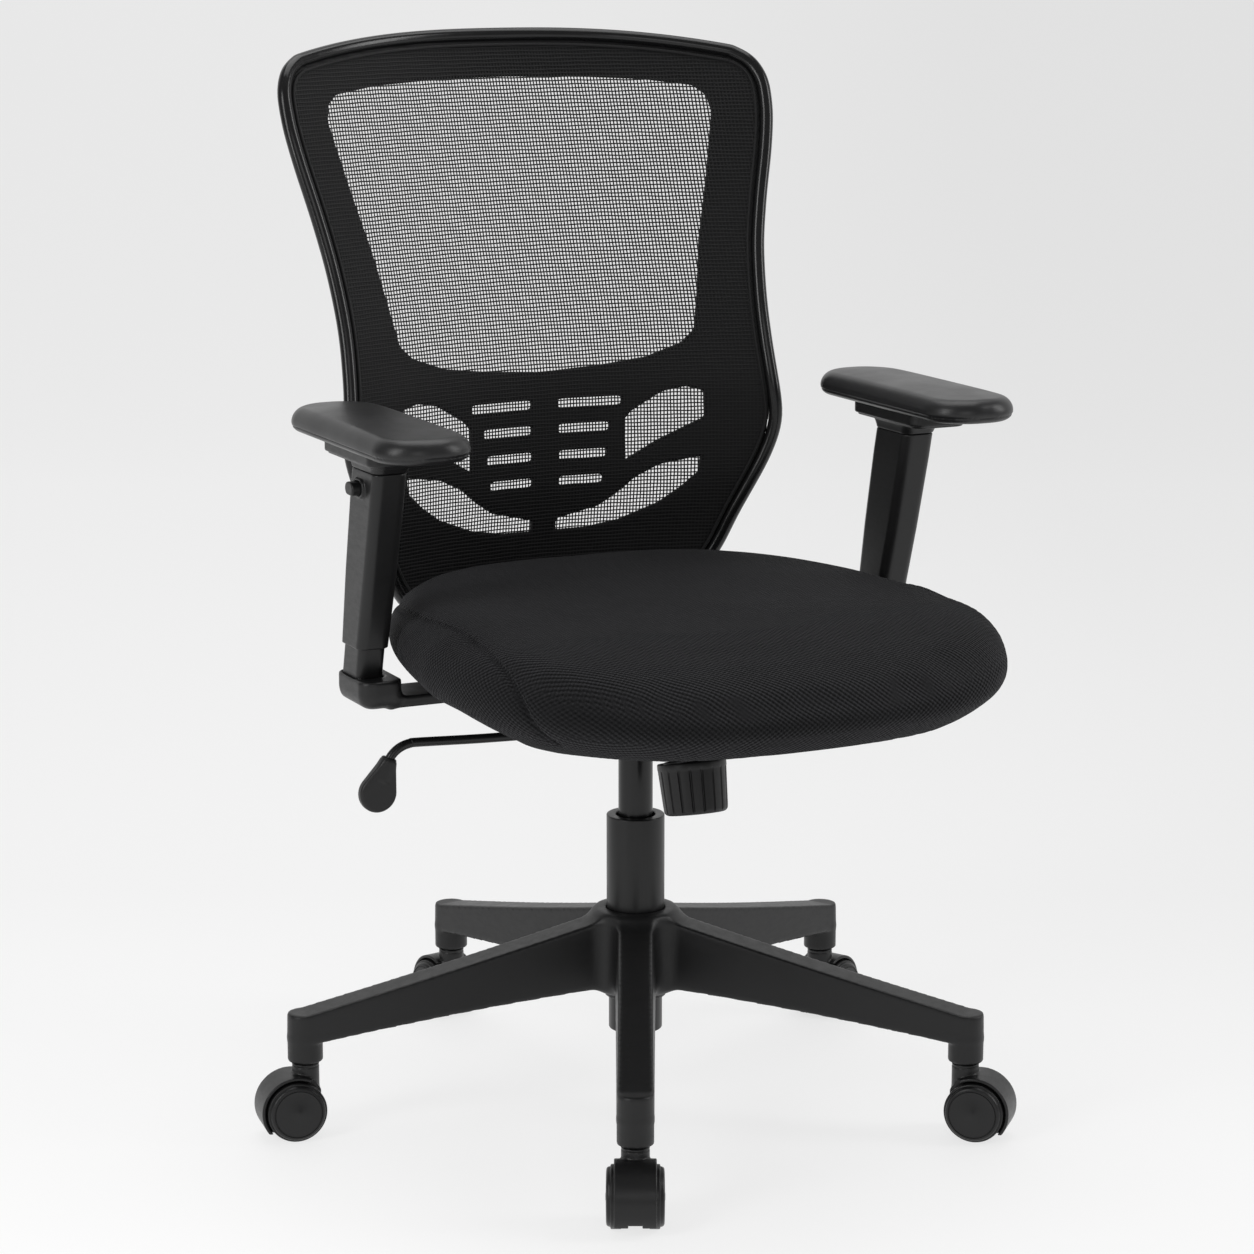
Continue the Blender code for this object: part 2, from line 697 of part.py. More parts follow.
# ------------------------------------------------------------------ back
CENTRE_LINE = ((0.432, 0.216), (0.500, 0.2045), (0.570, 0.197), (0.640, 0.1985), (0.693, 0.209), (0.800, 0.2455), (0.904, 0.284), (0.990, 0.317))
HALF_WIDTH = (
    (0.432, 0.110),
    (0.440, 0.140),
    (0.460, 0.163),
    (0.4854, 0.1785),
    (0.520, 0.192),
    (0.551, 0.206),
    (0.583, 0.2205),
    (0.617, 0.2290),
    (0.660, 0.2245),
    (0.712, 0.2225),
    (0.766, 0.2262),
    (0.820, 0.2360),
    (0.875, 0.2490),
    (0.910, 0.2545),
    (0.930, 0.2550),
    (0.947, 0.2505),
    (0.959, 0.2420),
    (0.968, 0.2270),
)


def smooth_through(table, z):
    """A monotone-friendly cubic through a table of (z, value)."""
    n = len(table)
    z = min(max(z, table[0][0]), table[-1][0])
    k = 0
    while k < n - 2 and z > table[k + 1][0]:
        k += 1

    def slope(i):
        if i == 0 or i == n - 1:
            a, b = (0, 1) if i == 0 else (n - 2, n - 1)
            return (table[b][1] - table[a][1]) / (table[b][0] - table[a][0])
        d0 = (table[i][1] - table[i - 1][1]) / (table[i][0] - table[i - 1][0])
        d1 = (table[i + 1][1] - table[i][1]) / (table[i + 1][0] - table[i][0])
        return 0.0 if d0 * d1 <= 0 else 2 * d0 * d1 / (d0 + d1)

    h = table[k + 1][0] - table[k][0]
    t = (z - table[k][0]) / h
    a, b = table[k][1], table[k + 1][1]
    ma, mb = slope(k) * h, slope(k + 1) * h
    return (2 * t**3 - 3 * t**2 + 1) * a + (t**3 - 2 * t**2 + t) * ma + (-2 * t**3 + 3 * t**2) * b + (t**3 - t**2) * mb


def back_y(x, z, out=0.0):
    """The front face of the back panel, out metres behind it."""
    return smooth_through(CENTRE_LINE, z) - BACK_BOW * x * x + out


def back_outline(steps=30, inset=0.0):
    """The back's outer edge as (x, z), counter-clockwise seen from the front, with an arched top."""
    side = []
    low, high = HALF_WIDTH[0][0], HALF_WIDTH[-1][0]
    for k in range(steps + 1):
        z = low + (high - low) * (1 - math.cos(math.pi * k / steps)) / 2
        side.append((smooth_through(HALF_WIDTH, z), z))
    top = []
    wide = HALF_WIDTH[-1][1]
    for k in range(1, 8):
        x = wide * (1 - k / 8)
        top.append((x, BACK_TOP - (BACK_TOP - high) * (x / wide) ** 2.6))
    half = side + top
    line = half + [(0.0, BACK_TOP)] + [(-x, z) for x, z in reversed(half)]
    if not inset:
        return line
    n, out = len(line), []
    for i in range(n):
        (x0, z0), (x1, z1) = line[i - 1], line[(i + 1) % n]
        length = math.hypot(x1 - x0, z1 - z0)
        out.append((line[i][0] - inset * (z1 - z0) / length, line[i][1] + inset * (x1 - x0) / length))
    return out


WINDOW = (
    (0.0, 0.6645),
    (0.060, 0.6685),
    (0.105, 0.6745),
    (0.140, 0.6870),
    (0.156, 0.6960),
    (0.1600, 0.7300),
    (0.1705, 0.7850),
    (0.1850, 0.8400),
    (0.1955, 0.8850),
    (0.2000, 0.9050),
    (0.1970, 0.9200),
    (0.1860, 0.9290),
    (0.1400, 0.9350),
    (0.070, 0.9385),
    (0.0, 0.9395),
)
UPPER_WING = ((0.082, 0.577), (0.112, 0.5945), (0.157, 0.6160), (0.1565, 0.6400), (0.140, 0.6445), (0.118, 0.6400), (0.0885, 0.6225), (0.082, 0.6150))
LOWER_WING = (
    (0.014, 0.5115),
    (0.045, 0.5120),
    (0.078, 0.5180),
    (0.115, 0.5330),
    (0.136, 0.5480),
    (0.151, 0.5620),
    (0.153, 0.5760),
    (0.115, 0.5690),
    (0.092, 0.5575),
    (0.075, 0.5430),
    (0.056, 0.5305),
    (0.014, 0.5205),
)
SLOTS = ((0.634, 0.0765), (0.6095, 0.0640), (0.5840, 0.0610), (0.5590, 0.0570))
SLOT_IN, SLOT_HALF = 0.0160, 0.0040


def curved_grid(columns, rows, out=0.0, half=0.275, low=0.415, high=1.005):
    """An open grid on the back's front face, larger than its outline, facing the sitter."""
    bm = bmesh.new()
    grid = []
    for r in range(rows + 1):
        z = low + (high - low) * r / rows
        line = []
        for c in range(columns + 1):
            x = half * (2 * c / columns - 1)
            line.append(bm.verts.new((x, back_y(x, z, out), z)))
        grid.append(line)
    for r in range(rows):
        for c in range(columns):
            bm.faces.new((grid[r][c], grid[r][c + 1], grid[r + 1][c + 1], grid[r + 1][c]))
    mesh = bpy.data.meshes.new("grid")
    bm.to_mesh(mesh)
    bm.free()
    return mesh


def thickened(mesh, thickness, offset=-1.0):
    obj = helper(mesh)
    mod = obj.modifiers.new("Solidify", "SOLIDIFY")
    mod.thickness, mod.offset = thickness, offset
    mesh = baked(obj)
    drop(obj)
    return mesh


def prism(outline, low=0.05, high=0.45):
    """A cutter through the back, with its outline in (x, z)."""
    return extruded(outline, low, high, "Y")


def mirrored(outline):
    return [(-x, z) for x, z in reversed(outline)]


def cut_outlines():
    window = list(WINDOW) + [(-x, z) for x, z in reversed(WINDOW[1:-1])]
    out = [window, list(UPPER_WING), mirrored(UPPER_WING), list(LOWER_WING), mirrored(LOWER_WING)]
    for z, reach in SLOTS:
        slot = [(SLOT_IN, z - SLOT_HALF), (reach, z - SLOT_HALF), (reach + 0.0025, z), (reach, z + SLOT_HALF), (SLOT_IN, z + SLOT_HALF), (SLOT_IN - 0.0025, z)]
        out += [slot, mirrored(slot)]
    return out


frame = cut(thickened(curved_grid(8, 12), BACK_THICK), [prism(back_outline(RIM_STEPS, 2 * RIM_R + 0.0010))], "INTERSECT")
BAR_HALF = 0.032
bolt_at = [(s * 0.018, 0.478) for s in (-1, 1)]
frame = cut(
    frame,
    [prism(o) for o in cut_outlines()]
    + [moved(rod(0.0043, 0.05, 0.45, 12), Matrix.Translation((x, 0, z)) @ Matrix.Rotation(math.radians(-90), 4, "X")) for x, z in bolt_at],
)
node("back_frame", frame, colour=NYLON, roughness=0.5)

rim_path = [(x, back_y(x, z, 0.0015), z) for x, z in back_outline(RIM_STEPS, RIM_R)]
node("back_rim", tube(rim_path, RIM_R, 1, cyclic=True), colour=NYLON, roughness=0.25)


# the mesh cloth: one thin curved sheet just in front of the panel, inside the rim
sheet = cut(thickened(curved_grid(8, 12, -0.0005), 0.0012, 1.0), [prism(back_outline(RIM_STEPS, 2 * RIM_R + 0.0012))], "INTERSECT")
node("back_mesh", sheet, colour=(0.012, 0.012, 0.012), roughness=0.8)

# L-shaped bar from the seat to the back of the panel
bar_side = []
BAR_T = 0.007
BAR_LOW, BAR_BACK = 0.4095, 0.2290


def bar_points(offset):
    """The bar's centre line, moved sideways by offset, as (y, z)."""
    radius = 0.020
    out = [(0.083, BAR_LOW - offset)]
    cy, cz = BAR_BACK - radius, BAR_LOW + radius
    for k in range(7):
        a = math.radians(-90 + 90 * k / 6)
        out.append((cy + (radius + offset) * math.cos(a), cz + (radius + offset) * math.sin(a)))
    out.append((BAR_BACK + offset - 0.004, 0.505))
    return out


outer, inner = bar_points(BAR_T / 2), bar_points(-BAR_T / 2)
bar = extruded(outer + list(reversed(inner)), -BAR_HALF, BAR_HALF, "X")
bar = cut(bar, [moved(rod(0.0043, 0.05, 0.45, 12), Matrix.Translation((x, 0, z)) @ Matrix.Rotation(math.radians(-90), 4, "X")) for x, z in bolt_at])
node("back_support_bar", bar, colour=DARK, roughness=0.4, metallic=0.6)
for label, (x, z) in zip(("right", "left"), bolt_at):
    face = BAR_BACK + BAR_T / 2 - 0.004 * (z - 0.43) / 0.075 + 0.0012
    head = turned([(0, 0.0055), (0.0070, 0.0050), (0.0070, 0.0), (0.0040, 0.0), (0.0040, -0.0165), (0, -0.0165)], 14)
    node(
        f"back_bar_bolt_{label}",
        moved(head, Matrix.Translation((x, face, z)) @ Matrix.Rotation(math.radians(-90), 4, "X")),
        colour=(0.3, 0.3, 0.3),
        roughness=0.3,
        metallic=1.0,
    )


# ------------------------------------------------------------------ arms
def lean(z):
    return ARM_Y - ARM_LEAN * (z - ARM_Z)


def leaning(sections, corner, side, segments=3):
    """A rounded post through sections of (z, half x, half y), its centre on the arm's leaning line."""
    bm = bmesh.new()
    rings = []
    for z, hx, hy in sections:
        ring = rounded_rectangle(hx, hy, min(corner, hx * 0.95, hy * 0.95), segments)
        rings.append([bm.verts.new((side * ARM_X + x, lean(z) + y, z)) for x, y in ring])
    n = len(rings[0])
    for low, high in zip(rings, rings[1:]):
        for i in range(n):
            bm.faces.new((low[i], low[(i + 1) % n], high[(i + 1) % n], high[i]))
    bm.faces.new(list(reversed(rings[0])))
    bm.faces.new(rings[-1])
    mesh = bpy.data.meshes.new("post")
    bm.to_mesh(mesh)
    bm.free()
    return mesh


for side, label in ((-1, "right"), (1, "left")):
    # bracket: a foot with the inner post on it and a flat bar under the seat
    y_foot = lean(0.423)
    foot = box((0.0406, 0.0710, BRACKET_TOP - BRACKET_BOTTOM), (side * (ARM_X - 0.0040), y_foot - 0.0100, (BRACKET_TOP + BRACKET_BOTTOM) / 2), 0.009, 2)
    post = leaning([(BRACKET_BOTTOM + 0.012, POST_HALF_X, POST_HALF_Y), (POST_TOP, POST_HALF_X, POST_HALF_Y)], 0.007, side)
    flat = box((0.178, 0.052, 0.0105), (side * 0.1625, 0.004, 0.41175), 0.0015, 1)
    bracket = joined(foot, [post, flat])
    node(f"arm_bracket_{label}", bracket, roughness=0.45)
    # sleeve: slides on the post, wider at the top
    sleeve = leaning(
        [(SLEEVE_BOTTOM, 0.0150, 0.0243), (0.530, 0.0156, 0.0283), (0.600, 0.0160, 0.0303), (SLEEVE_TOP, 0.0160, 0.0303)], 0.009, side
    )
    cavity = leaning([(SLEEVE_BOTTOM - 0.01, POST_HALF_X + 0.0006, POST_HALF_Y + 0.0006), (0.6120, POST_HALF_X + 0.0006, POST_HALF_Y + 0.0006)], 0.007, side)
    # an oblong button in a raised frame on the outer face, its hole open into the sleeve
    button_z = 0.6080
    button_y = lean(button_z) + 0.0020
    to_button = Matrix.Translation((side * ARM_X, button_y, button_z)) @ Matrix.Rotation(math.radians(90) * side, 4, "Y")
    boss_out = moved(extruded(rounded_rectangle(0.0086, 0.0130, 0.0084, 5), 0.0145, 0.0190), to_button)
    hole = moved(extruded(rounded_rectangle(0.0062, 0.0095, 0.0060, 5), 0.0100, 0.0250), to_button)
    sleeve = cut(joined(sleeve, [boss_out]), [cavity, hole])
    node(f"arm_sleeve_{label}", sleeve, roughness=0.42)
    node(
        f"arm_button_{label}",
        moved(
            joined(
                extruded(rounded_rectangle(0.0058, 0.0091, 0.0056, 5), 0.0165, 0.0258),
                [extruded(rounded_rectangle(0.0048, 0.0081, 0.0046, 5), 0.0250, 0.0270)],
            ),
            to_button,
        ),
        to_button @ Vector((0, 0, 0.02)),
        roughness=0.35,
    )
    # flared collar and plate under the pad
    top = leaning([(SLEEVE_TOP + GAP, 0.0168, 0.0312), (0.6300, 0.0176, 0.0325), (0.6363, 0.0200, 0.0365)], 0.011, side)
    flat_plate = extruded(rounded_rectangle(0.0300, 0.0620, 0.014, 5, (side * (PAD_X - 0.001), PAD_Y + 0.006)), 0.6358, PAD_BOTTOM - GAP)
    node(f"arm_top_plate_{label}", joined(top, [flat_plate]), roughness=0.45)
    pad_layers = [(0.008, PAD_BOTTOM, None), (0.0018, PAD_BOTTOM + 0.005, None), (0.0, PAD_BOTTOM + 0.011, None), (0.0025, PAD_TOP - 0.0060, None), (0.0090, PAD_TOP - 0.0010, None), (0.0140, PAD_TOP, None)]

    def pad_outline(inset, count, side=side):
        return rounded_rectangle(PAD_HALF_X - inset, PAD_HALF_Y - inset, max(PAD_CORNER - inset, 0.01), count // 4 - 1, (side * PAD_X, PAD_Y))

    node(f"arm_pad_{label}", layered(pad_layers, pad_outline, 24), colour=(0.02, 0.02, 0.021), roughness=0.55)
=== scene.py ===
"""Looks of the swivel office chair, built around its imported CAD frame. Metres, +Z up, the seat faces -Y."""

import math

import bmesh
import bpy
import numpy as np
from mathutils import Matrix, Vector


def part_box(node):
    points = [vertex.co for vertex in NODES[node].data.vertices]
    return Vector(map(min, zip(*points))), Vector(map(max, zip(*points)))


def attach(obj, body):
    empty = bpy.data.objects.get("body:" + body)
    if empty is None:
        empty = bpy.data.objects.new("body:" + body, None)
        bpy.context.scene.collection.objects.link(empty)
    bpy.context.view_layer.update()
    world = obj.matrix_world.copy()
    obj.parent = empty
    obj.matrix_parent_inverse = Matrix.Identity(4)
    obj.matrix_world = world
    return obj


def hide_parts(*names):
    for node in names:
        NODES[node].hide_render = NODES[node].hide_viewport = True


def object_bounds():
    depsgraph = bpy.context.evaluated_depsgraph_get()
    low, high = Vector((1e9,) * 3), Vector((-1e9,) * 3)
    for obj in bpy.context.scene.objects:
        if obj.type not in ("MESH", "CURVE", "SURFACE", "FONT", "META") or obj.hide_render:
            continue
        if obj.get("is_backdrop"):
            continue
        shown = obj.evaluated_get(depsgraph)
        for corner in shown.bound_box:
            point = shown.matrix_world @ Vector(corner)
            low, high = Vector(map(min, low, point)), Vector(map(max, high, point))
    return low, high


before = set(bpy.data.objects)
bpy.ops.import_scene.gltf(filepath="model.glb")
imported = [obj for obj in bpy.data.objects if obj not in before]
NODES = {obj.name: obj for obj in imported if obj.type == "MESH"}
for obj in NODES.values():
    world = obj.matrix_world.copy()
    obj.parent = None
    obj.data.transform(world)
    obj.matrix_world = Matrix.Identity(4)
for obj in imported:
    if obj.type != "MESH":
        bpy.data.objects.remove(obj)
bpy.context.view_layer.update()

# the column axis in the row frame, from the gas spring; every design point below is given from it
_lo, _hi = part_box("gas_spring_cylinder")
OX, OY = (_lo.x + _hi.x) / 2, (_lo.y + _hi.y) / 2
SHIFT = Matrix.Translation((OX, OY, 0))
GAP = 0.0003
TAU = math.tau

LEGS = 5
LEG_TURN = math.radians(244.16)
STEM_RADIUS = 0.317
LEG_SPACES = [Matrix.Rotation(LEG_TURN + TAU * i / LEGS, 4, "Z") @ Matrix.Translation((STEM_RADIUS, 0, 0)) for i in range(LEGS)]


# ------------------------------------------------------------------ mesh tools
def mesh_of(verts, faces, name="made"):
    mesh = bpy.data.meshes.new(name)
    verts = np.asarray(verts, np.float32)
    mesh.vertices.add(len(verts))
    mesh.vertices.foreach_set("co", verts.ravel())
    faces = np.asarray(faces, np.int32)
    n, k = faces.shape
    mesh.loops.add(n * k)
    mesh.loops.foreach_set("vertex_index", faces.ravel())
    mesh.polygons.add(n)
    mesh.polygons.foreach_set("loop_start", np.arange(0, n * k, k, dtype=np.int32))
    mesh.update(calc_edges=True)
    mesh.validate()
    return mesh


def nets(f, low, high, step):
    """The surface where f(x, y, z) is zero, as quads through one point per crossed cell of a grid."""
    low = np.array(low, float)
    step = np.array([step] * 3 if np.isscalar(step) else step, float)
    n = [int(math.ceil((high[k] - low[k]) / step[k])) + 1 for k in range(3)]
    axes = [(low[k] + step[k] * np.arange(n[k])).astype(np.float32) for k in range(3)]
    grid = np.meshgrid(*axes, indexing="ij", sparse=True)
    value = np.ascontiguousarray(np.broadcast_to(f(*grid), n).astype(np.float32))
    inside = value < 0
    count = np.zeros([k - 1 for k in n], np.int8)
    for a in (0, 1):
        for b in (0, 1):
            for c in (0, 1):
                count += inside[a : n[0] - 1 + a, b : n[1] - 1 + b, c : n[2] - 1 + c]
    active = (count > 0) & (count < 8)
    cells = np.argwhere(active)
    index = np.full(active.shape, -1, np.int32)
    index[active] = np.arange(len(cells))
    total, hits = np.zeros((len(cells), 3)), np.zeros(len(cells))
    for axis in range(3):
        u, v = (axis + 1) % 3, (axis + 2) % 3
        for du in (0, 1):
            for dv in (0, 1):
                start = cells.copy()
                start[:, u] += du
                start[:, v] += dv
                end = start.copy()
                end[:, axis] += 1
                va, vb = value[tuple(start.T)], value[tuple(end.T)]
                crossed = (va < 0) != (vb < 0)
                t = np.where(crossed, va / np.where(crossed, va - vb, 1), 0)
                point = start.astype(float)
                point[:, axis] += t
                total[crossed] += point[crossed]
                hits[crossed] += 1
    verts = low + step * (total / hits[:, None])
    quads = []
    for axis in range(3):
        u, v = (axis + 1) % 3, (axis + 2) % 3
        here = [slice(None)] * 3
        there = [slice(None)] * 3
        here[axis], there[axis] = slice(0, -1), slice(1, None)
        edges = np.argwhere(inside[tuple(here)] != inside[tuple(there)])
        keep = (edges[:, u] >= 1) & (edges[:, v] >= 1) & (edges[:, u] <= n[u] - 2) & (edges[:, v] <= n[v] - 2)
        edges = edges[keep]
        corner = []
        for du, dv in ((1, 1), (0, 1), (0, 0), (1, 0)):
            cell = edges.copy()
            cell[:, u] -= du
            cell[:, v] -= dv
            corner.append(index[tuple(cell.T)])
        quad = np.stack(corner, 1)
        outward = inside[tuple(edges.T)]
        quad[~outward] = quad[~outward][:, ::-1]
        quads.append(quad)
    return verts, np.concatenate(quads)


def rmin(a, b, r):
    """Union of two distances with a round fillet."""
    return np.maximum(r, np.minimum(a, b)) - np.hypot(np.maximum(r - a, 0), np.maximum(r - b, 0))


def rmax(a, b, r):
    """Intersection of two distances with a rounded edge."""
    return np.minimum(-r, np.maximum(a, b)) + np.hypot(np.maximum(r + a, 0), np.maximum(r + b, 0))


def lerp(a, b, t):
    return a + (b - a) * t


def ramp(x, x0, x1):
    t = np.clip((x - x0) / (x1 - x0), 0, 1)
    return t * t * (3 - 2 * t)


def put(name, mesh, body, replaces=(), mat=None, smooth=None, place=SHIFT):
    """A finished piece, from the column's frame into the row frame, riding on its body."""
    if place is not None:
        mesh.transform(place)
    mesh.name = name
    mesh.shade_smooth()
    if smooth:
        mesh.set_sharp_from_angle(angle=math.radians(smooth))
    obj = bpy.data.objects.new(name, mesh)
    bpy.context.scene.collection.objects.link(obj)
    if mat:
        mesh.materials.clear()
        mesh.materials.append(mat)
    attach(obj, body)
    if replaces:
        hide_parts(*replaces)
    return obj


def baked(obj):
    graph = bpy.context.evaluated_depsgraph_get()
    graph.update()
    return bpy.data.meshes.new_from_object(obj.evaluated_get(graph))


def scratch(mesh):
    obj = bpy.data.objects.new("scratch", mesh)
    bpy.context.scene.collection.objects.link(obj)
    return obj


def drop(obj):
    bpy.data.objects.remove(obj, do_unlink=True)


def turned(profile, sides=96, closed=False, shape=None):
    """A profile of (radius, height), down its outer side, turned about Z. shape(a, r, z) may move a point's radius."""
    points = list(profile) + ([profile[0]] if closed else [])
    verts, faces = [], []
    rows = []
    for r, z in points[:-1] if closed else points:
        if r < 1e-7:
            rows.append([len(verts)])
            verts.append((0, 0, z))
        else:
            row = []
            for k in range(sides):
                a = TAU * k / sides
                q = shape(a, r, z) if shape else r
                row.append(len(verts))
                verts.append((q * math.cos(a), q * math.sin(a), z))
            rows.append(row)
    if closed:
        rows.append(rows[0])
    bm = bmesh.new()
    made = [bm.verts.new(v) for v in verts]
    for above, below in zip(rows, rows[1:]):
        for k in range(sides):
            j = (k + 1) % sides
            a, b = above[k % len(above)], above[j % len(above)]
            c, d = below[j % len(below)], below[k % len(below)]
            ring = []
            for i in (a, d, c, b):
                if i not in ring:
                    ring.append(i)
            if len(ring) > 2:
                bm.faces.new([made[i] for i in ring])
    mesh = bpy.data.meshes.new("turned")
    bm.to_mesh(mesh)
    bm.free()
    return mesh


def rounded(profile, radius, steps=4):
    """A profile with its inner corners rounded."""
    out = [profile[0]]
    for a, b, c in zip(profile, profile[1:], profile[2:]):
        a, b, c = Vector(a), Vector(b), Vector(c)
        u, v = (a - b), (c - b)
        if u.length < 1e-9 or v.length < 1e-9:
            continue
        cut = min(radius, u.length * 0.45, v.length * 0.45)
        p, q = b + u.normalized() * cut, b + v.normalized() * cut
        for k in range(steps + 1):
            t = k / steps
            w = (1 - t) ** 2 * p + 2 * t * (1 - t) * b + t * t * q
            out.append((w.x, w.y))
    out.append(profile[-1])
    return out


def tube(points, radius, sides=16, cyclic=False, squash=None):
    """A round wire along points, with caps. squash(k, a) may change the radius."""
    pts = [Vector(p) for p in points]
    n = len(pts)
    verts, faces = [], []
    normal = None
    for k, p in enumerate(pts):
        before = pts[k - 1] if k or cyclic else p
        after = pts[(k + 1) % n] if k < n - 1 or cyclic else p
        along = (after - before).normalized()
        if normal is None:
            normal = along.orthogonal().normalized()
        normal = (normal - along * normal.dot(along)).normalized()
        side = along.cross(normal)
        for i in range(sides):
            a = TAU * i / sides
            r = radius if squash is None else squash(k, a)
            verts.append(p + normal * (r * math.cos(a)) + side * (r * math.sin(a)))
    bm = bmesh.new()
    made = [bm.verts.new(v) for v in verts]
    last = n if cyclic else n - 1
    twist = 0
    if cyclic:  # match the seam
        first = verts[0]
        twist = min(range(sides), key=lambda i: (verts[(n - 1) * sides + i] - first).length)
    for k in range(last):
        m = (k + 1) % n
        for i in range(sides):
            j = (i + 1) % sides
            if k == n - 1:
                a, b = (i + twist) % sides, (j + twist) % sides
                bm.faces.new((made[k * sides + a], made[k * sides + b], made[j], made[i]))
            else:
                bm.faces.new((made[k * sides + i], made[k * sides + j], made[m * sides + j], made[m * sides + i]))
    if not cyclic:
        bm.faces.new([made[i] for i in reversed(range(sides))])
        bm.faces.new([made[(n - 1) * sides + i] for i in range(sides)])
    bmesh.ops.recalc_face_normals(bm, faces=bm.faces)
    mesh = bpy.data.meshes.new("wire")
    bm.to_mesh(mesh)
    bm.free()
    return mesh


def merged(*meshes):
    bm = bmesh.new()
    for m in meshes:
        bm.from_mesh(m)
    mesh = bpy.data.meshes.new("merged")
    bm.to_mesh(mesh)
    bm.free()
    return mesh


def moved(mesh, matrix):
    mesh = mesh.copy()
    mesh.transform(matrix)
    return mesh


def smooth_line(points, per=8, cyclic=False):
    """A Catmull-Rom line through the points."""
    pts = [Vector(p) for p in points]
    n = len(pts)
    out = []
    for k in range(n if cyclic else n - 1):
        p0 = pts[k - 1] if k or cyclic else pts[0] * 2 - pts[1]
        p1, p2 = pts[k], pts[(k + 1) % n]
        p3 = pts[(k + 2) % n] if k < n - 2 or cyclic else pts[-1] * 2 - pts[-2]
        for i in range(per):
            t = i / per
            out.append(0.5 * (2 * p1 + (p2 - p0) * t + (2 * p0 - 5 * p1 + 4 * p2 - p3) * t * t + (3 * p1 - p0 - 3 * p2 + p3) * t**3))
    if not cyclic:
        out.append(pts[-1])
    return out


# ------------------------------------------------------------------ materials
class Finish:
    """A node material in object space, in metres, with small helpers for its maps."""

    def __init__(self, name, colour, roughness, metallic=0.0, specular=0.36):
        self.mat = bpy.data.materials.new(name)
        self.mat.use_nodes = True
        self.tree = self.mat.node_tree
        self.shader = self.tree.nodes["Principled BSDF"]
        self.shader.inputs["Metallic"].default_value = metallic
        self.shader.inputs["Specular IOR Level"].default_value = specular
        self.colour, self.roughness = colour, roughness
        self.set("Base Color", (*colour, 1))
        self.set("Roughness", roughness)
        self.place = self.tree.nodes.new("ShaderNodeTexCoord").outputs["Object"]

    def set(self, socket, value):
        self.shader.inputs[socket].default_value = value

    def link(self, a, b):
        self.tree.links.new(a, b)

    def math(self, operation, a, b=0.0, c=None, clamp=False):
        node = self.tree.nodes.new("ShaderNodeMath")
        node.operation, node.use_clamp = operation, clamp
        for k, value in enumerate((a, b, c)):
            if value is None:
                continue
            if isinstance(value, (int, float)):
                node.inputs[k].default_value = value
            else:
                self.link(value, node.inputs[k])
        return node.outputs[0]

    def axes(self, scale=(1, 1, 1), turn=(0, 0, 0), source=None):
        node = self.tree.nodes.new("ShaderNodeMapping")
        node.inputs["Scale"].default_value = scale
        node.inputs["Rotation"].default_value = turn
        self.link(source or self.place, node.inputs["Vector"])
        return node.outputs[0]

    def noise(self, scale, detail=3.0, rough=0.5, source=None):
        node = self.tree.nodes.new("ShaderNodeTexNoise")
        node.inputs["Scale"].default_value = scale
        node.inputs["Detail"].default_value = detail
        node.inputs["Roughness"].default_value = rough
        self.link(source or self.place, node.inputs["Vector"])
        return node.outputs["Fac"]

    def cells(self, scale, source=None, feature="F1"):
        node = self.tree.nodes.new("ShaderNodeTexVoronoi")
        node.feature = feature
        node.inputs["Scale"].default_value = scale
        self.link(source or self.place, node.inputs["Vector"])
        return node.outputs["Distance"]

    def span(self, value, low, high, to_low, to_high):
        node = self.tree.nodes.new("ShaderNodeMapRange")
        for k, v in zip(("From Min", "From Max", "To Min", "To Max"), (low, high, to_low, to_high)):
            node.inputs[k].default_value = v
        self.link(value, node.inputs["Value"])
        return node.outputs["Result"]

    def mix(self, factor, a, b):
        node = self.tree.nodes.new("ShaderNodeMix")
        node.data_type = "RGBA"
        for k, value in ((0, factor), (6, a), (7, b)):
            if isinstance(value, (int, float)):
                node.inputs[k].default_value = value
            elif isinstance(value, tuple):
                node.inputs[k].default_value = (*value, 1)
            else:
                self.link(value, node.inputs[k])
        return node.outputs[2]

    def bump(self, height, depth, strength=1.0, over=None):
        node = self.tree.nodes.new("ShaderNodeBump")
        node.inputs["Distance"].default_value = depth
        node.inputs["Strength"].default_value = strength
        self.link(height, node.inputs["Height"])
        if over is not None:
            self.link(over, node.inputs["Normal"])
        return node.outputs[0]

    def to(self, socket, value):
        self.link(value, self.shader.inputs[socket])
        return self


def edge_of(f, low=0.505, high=0.56):
    """1 on sharp outer edges, 0 on flats."""
    geometry = f.tree.nodes.new("ShaderNodeNewGeometry")
    return f.span(geometry.outputs["Pointiness"], low, high, 0.0, 1.0)


def plastic(name, colour=(0.0125, 0.0125, 0.0132), roughness=0.42, grain=2400, depth=0.00003, wear=0.35):
    f = Finish(name, colour, roughness)
    broad, fine = f.noise(9, 4, 0.6), f.noise(grain, 2, 0.6)
    pits = f.cells(grain * 0.5)
    scuff = f.noise(90, 5, 0.7, f.axes((1, 1, 3)))
    light = tuple(min(1, c * 1.55) for c in colour)
    tone = f.mix(f.span(broad, 0.35, 0.65, 0, 1), colour, tuple(c * 1.18 for c in colour))
    tone = f.mix(f.math("MULTIPLY", edge_of(f), wear, clamp=True), tone, light)
    f.to("Base Color", tone)
    rough = f.math("ADD", f.span(scuff, 0.3, 0.75, roughness - 0.05, roughness + 0.07), f.span(fine, 0.3, 0.7, -0.03, 0.03))
    f.to("Roughness", rough)
    first = f.bump(pits, depth, 0.5)
    f.to("Normal", f.bump(fine, depth, 0.7, first))
    return f.mat


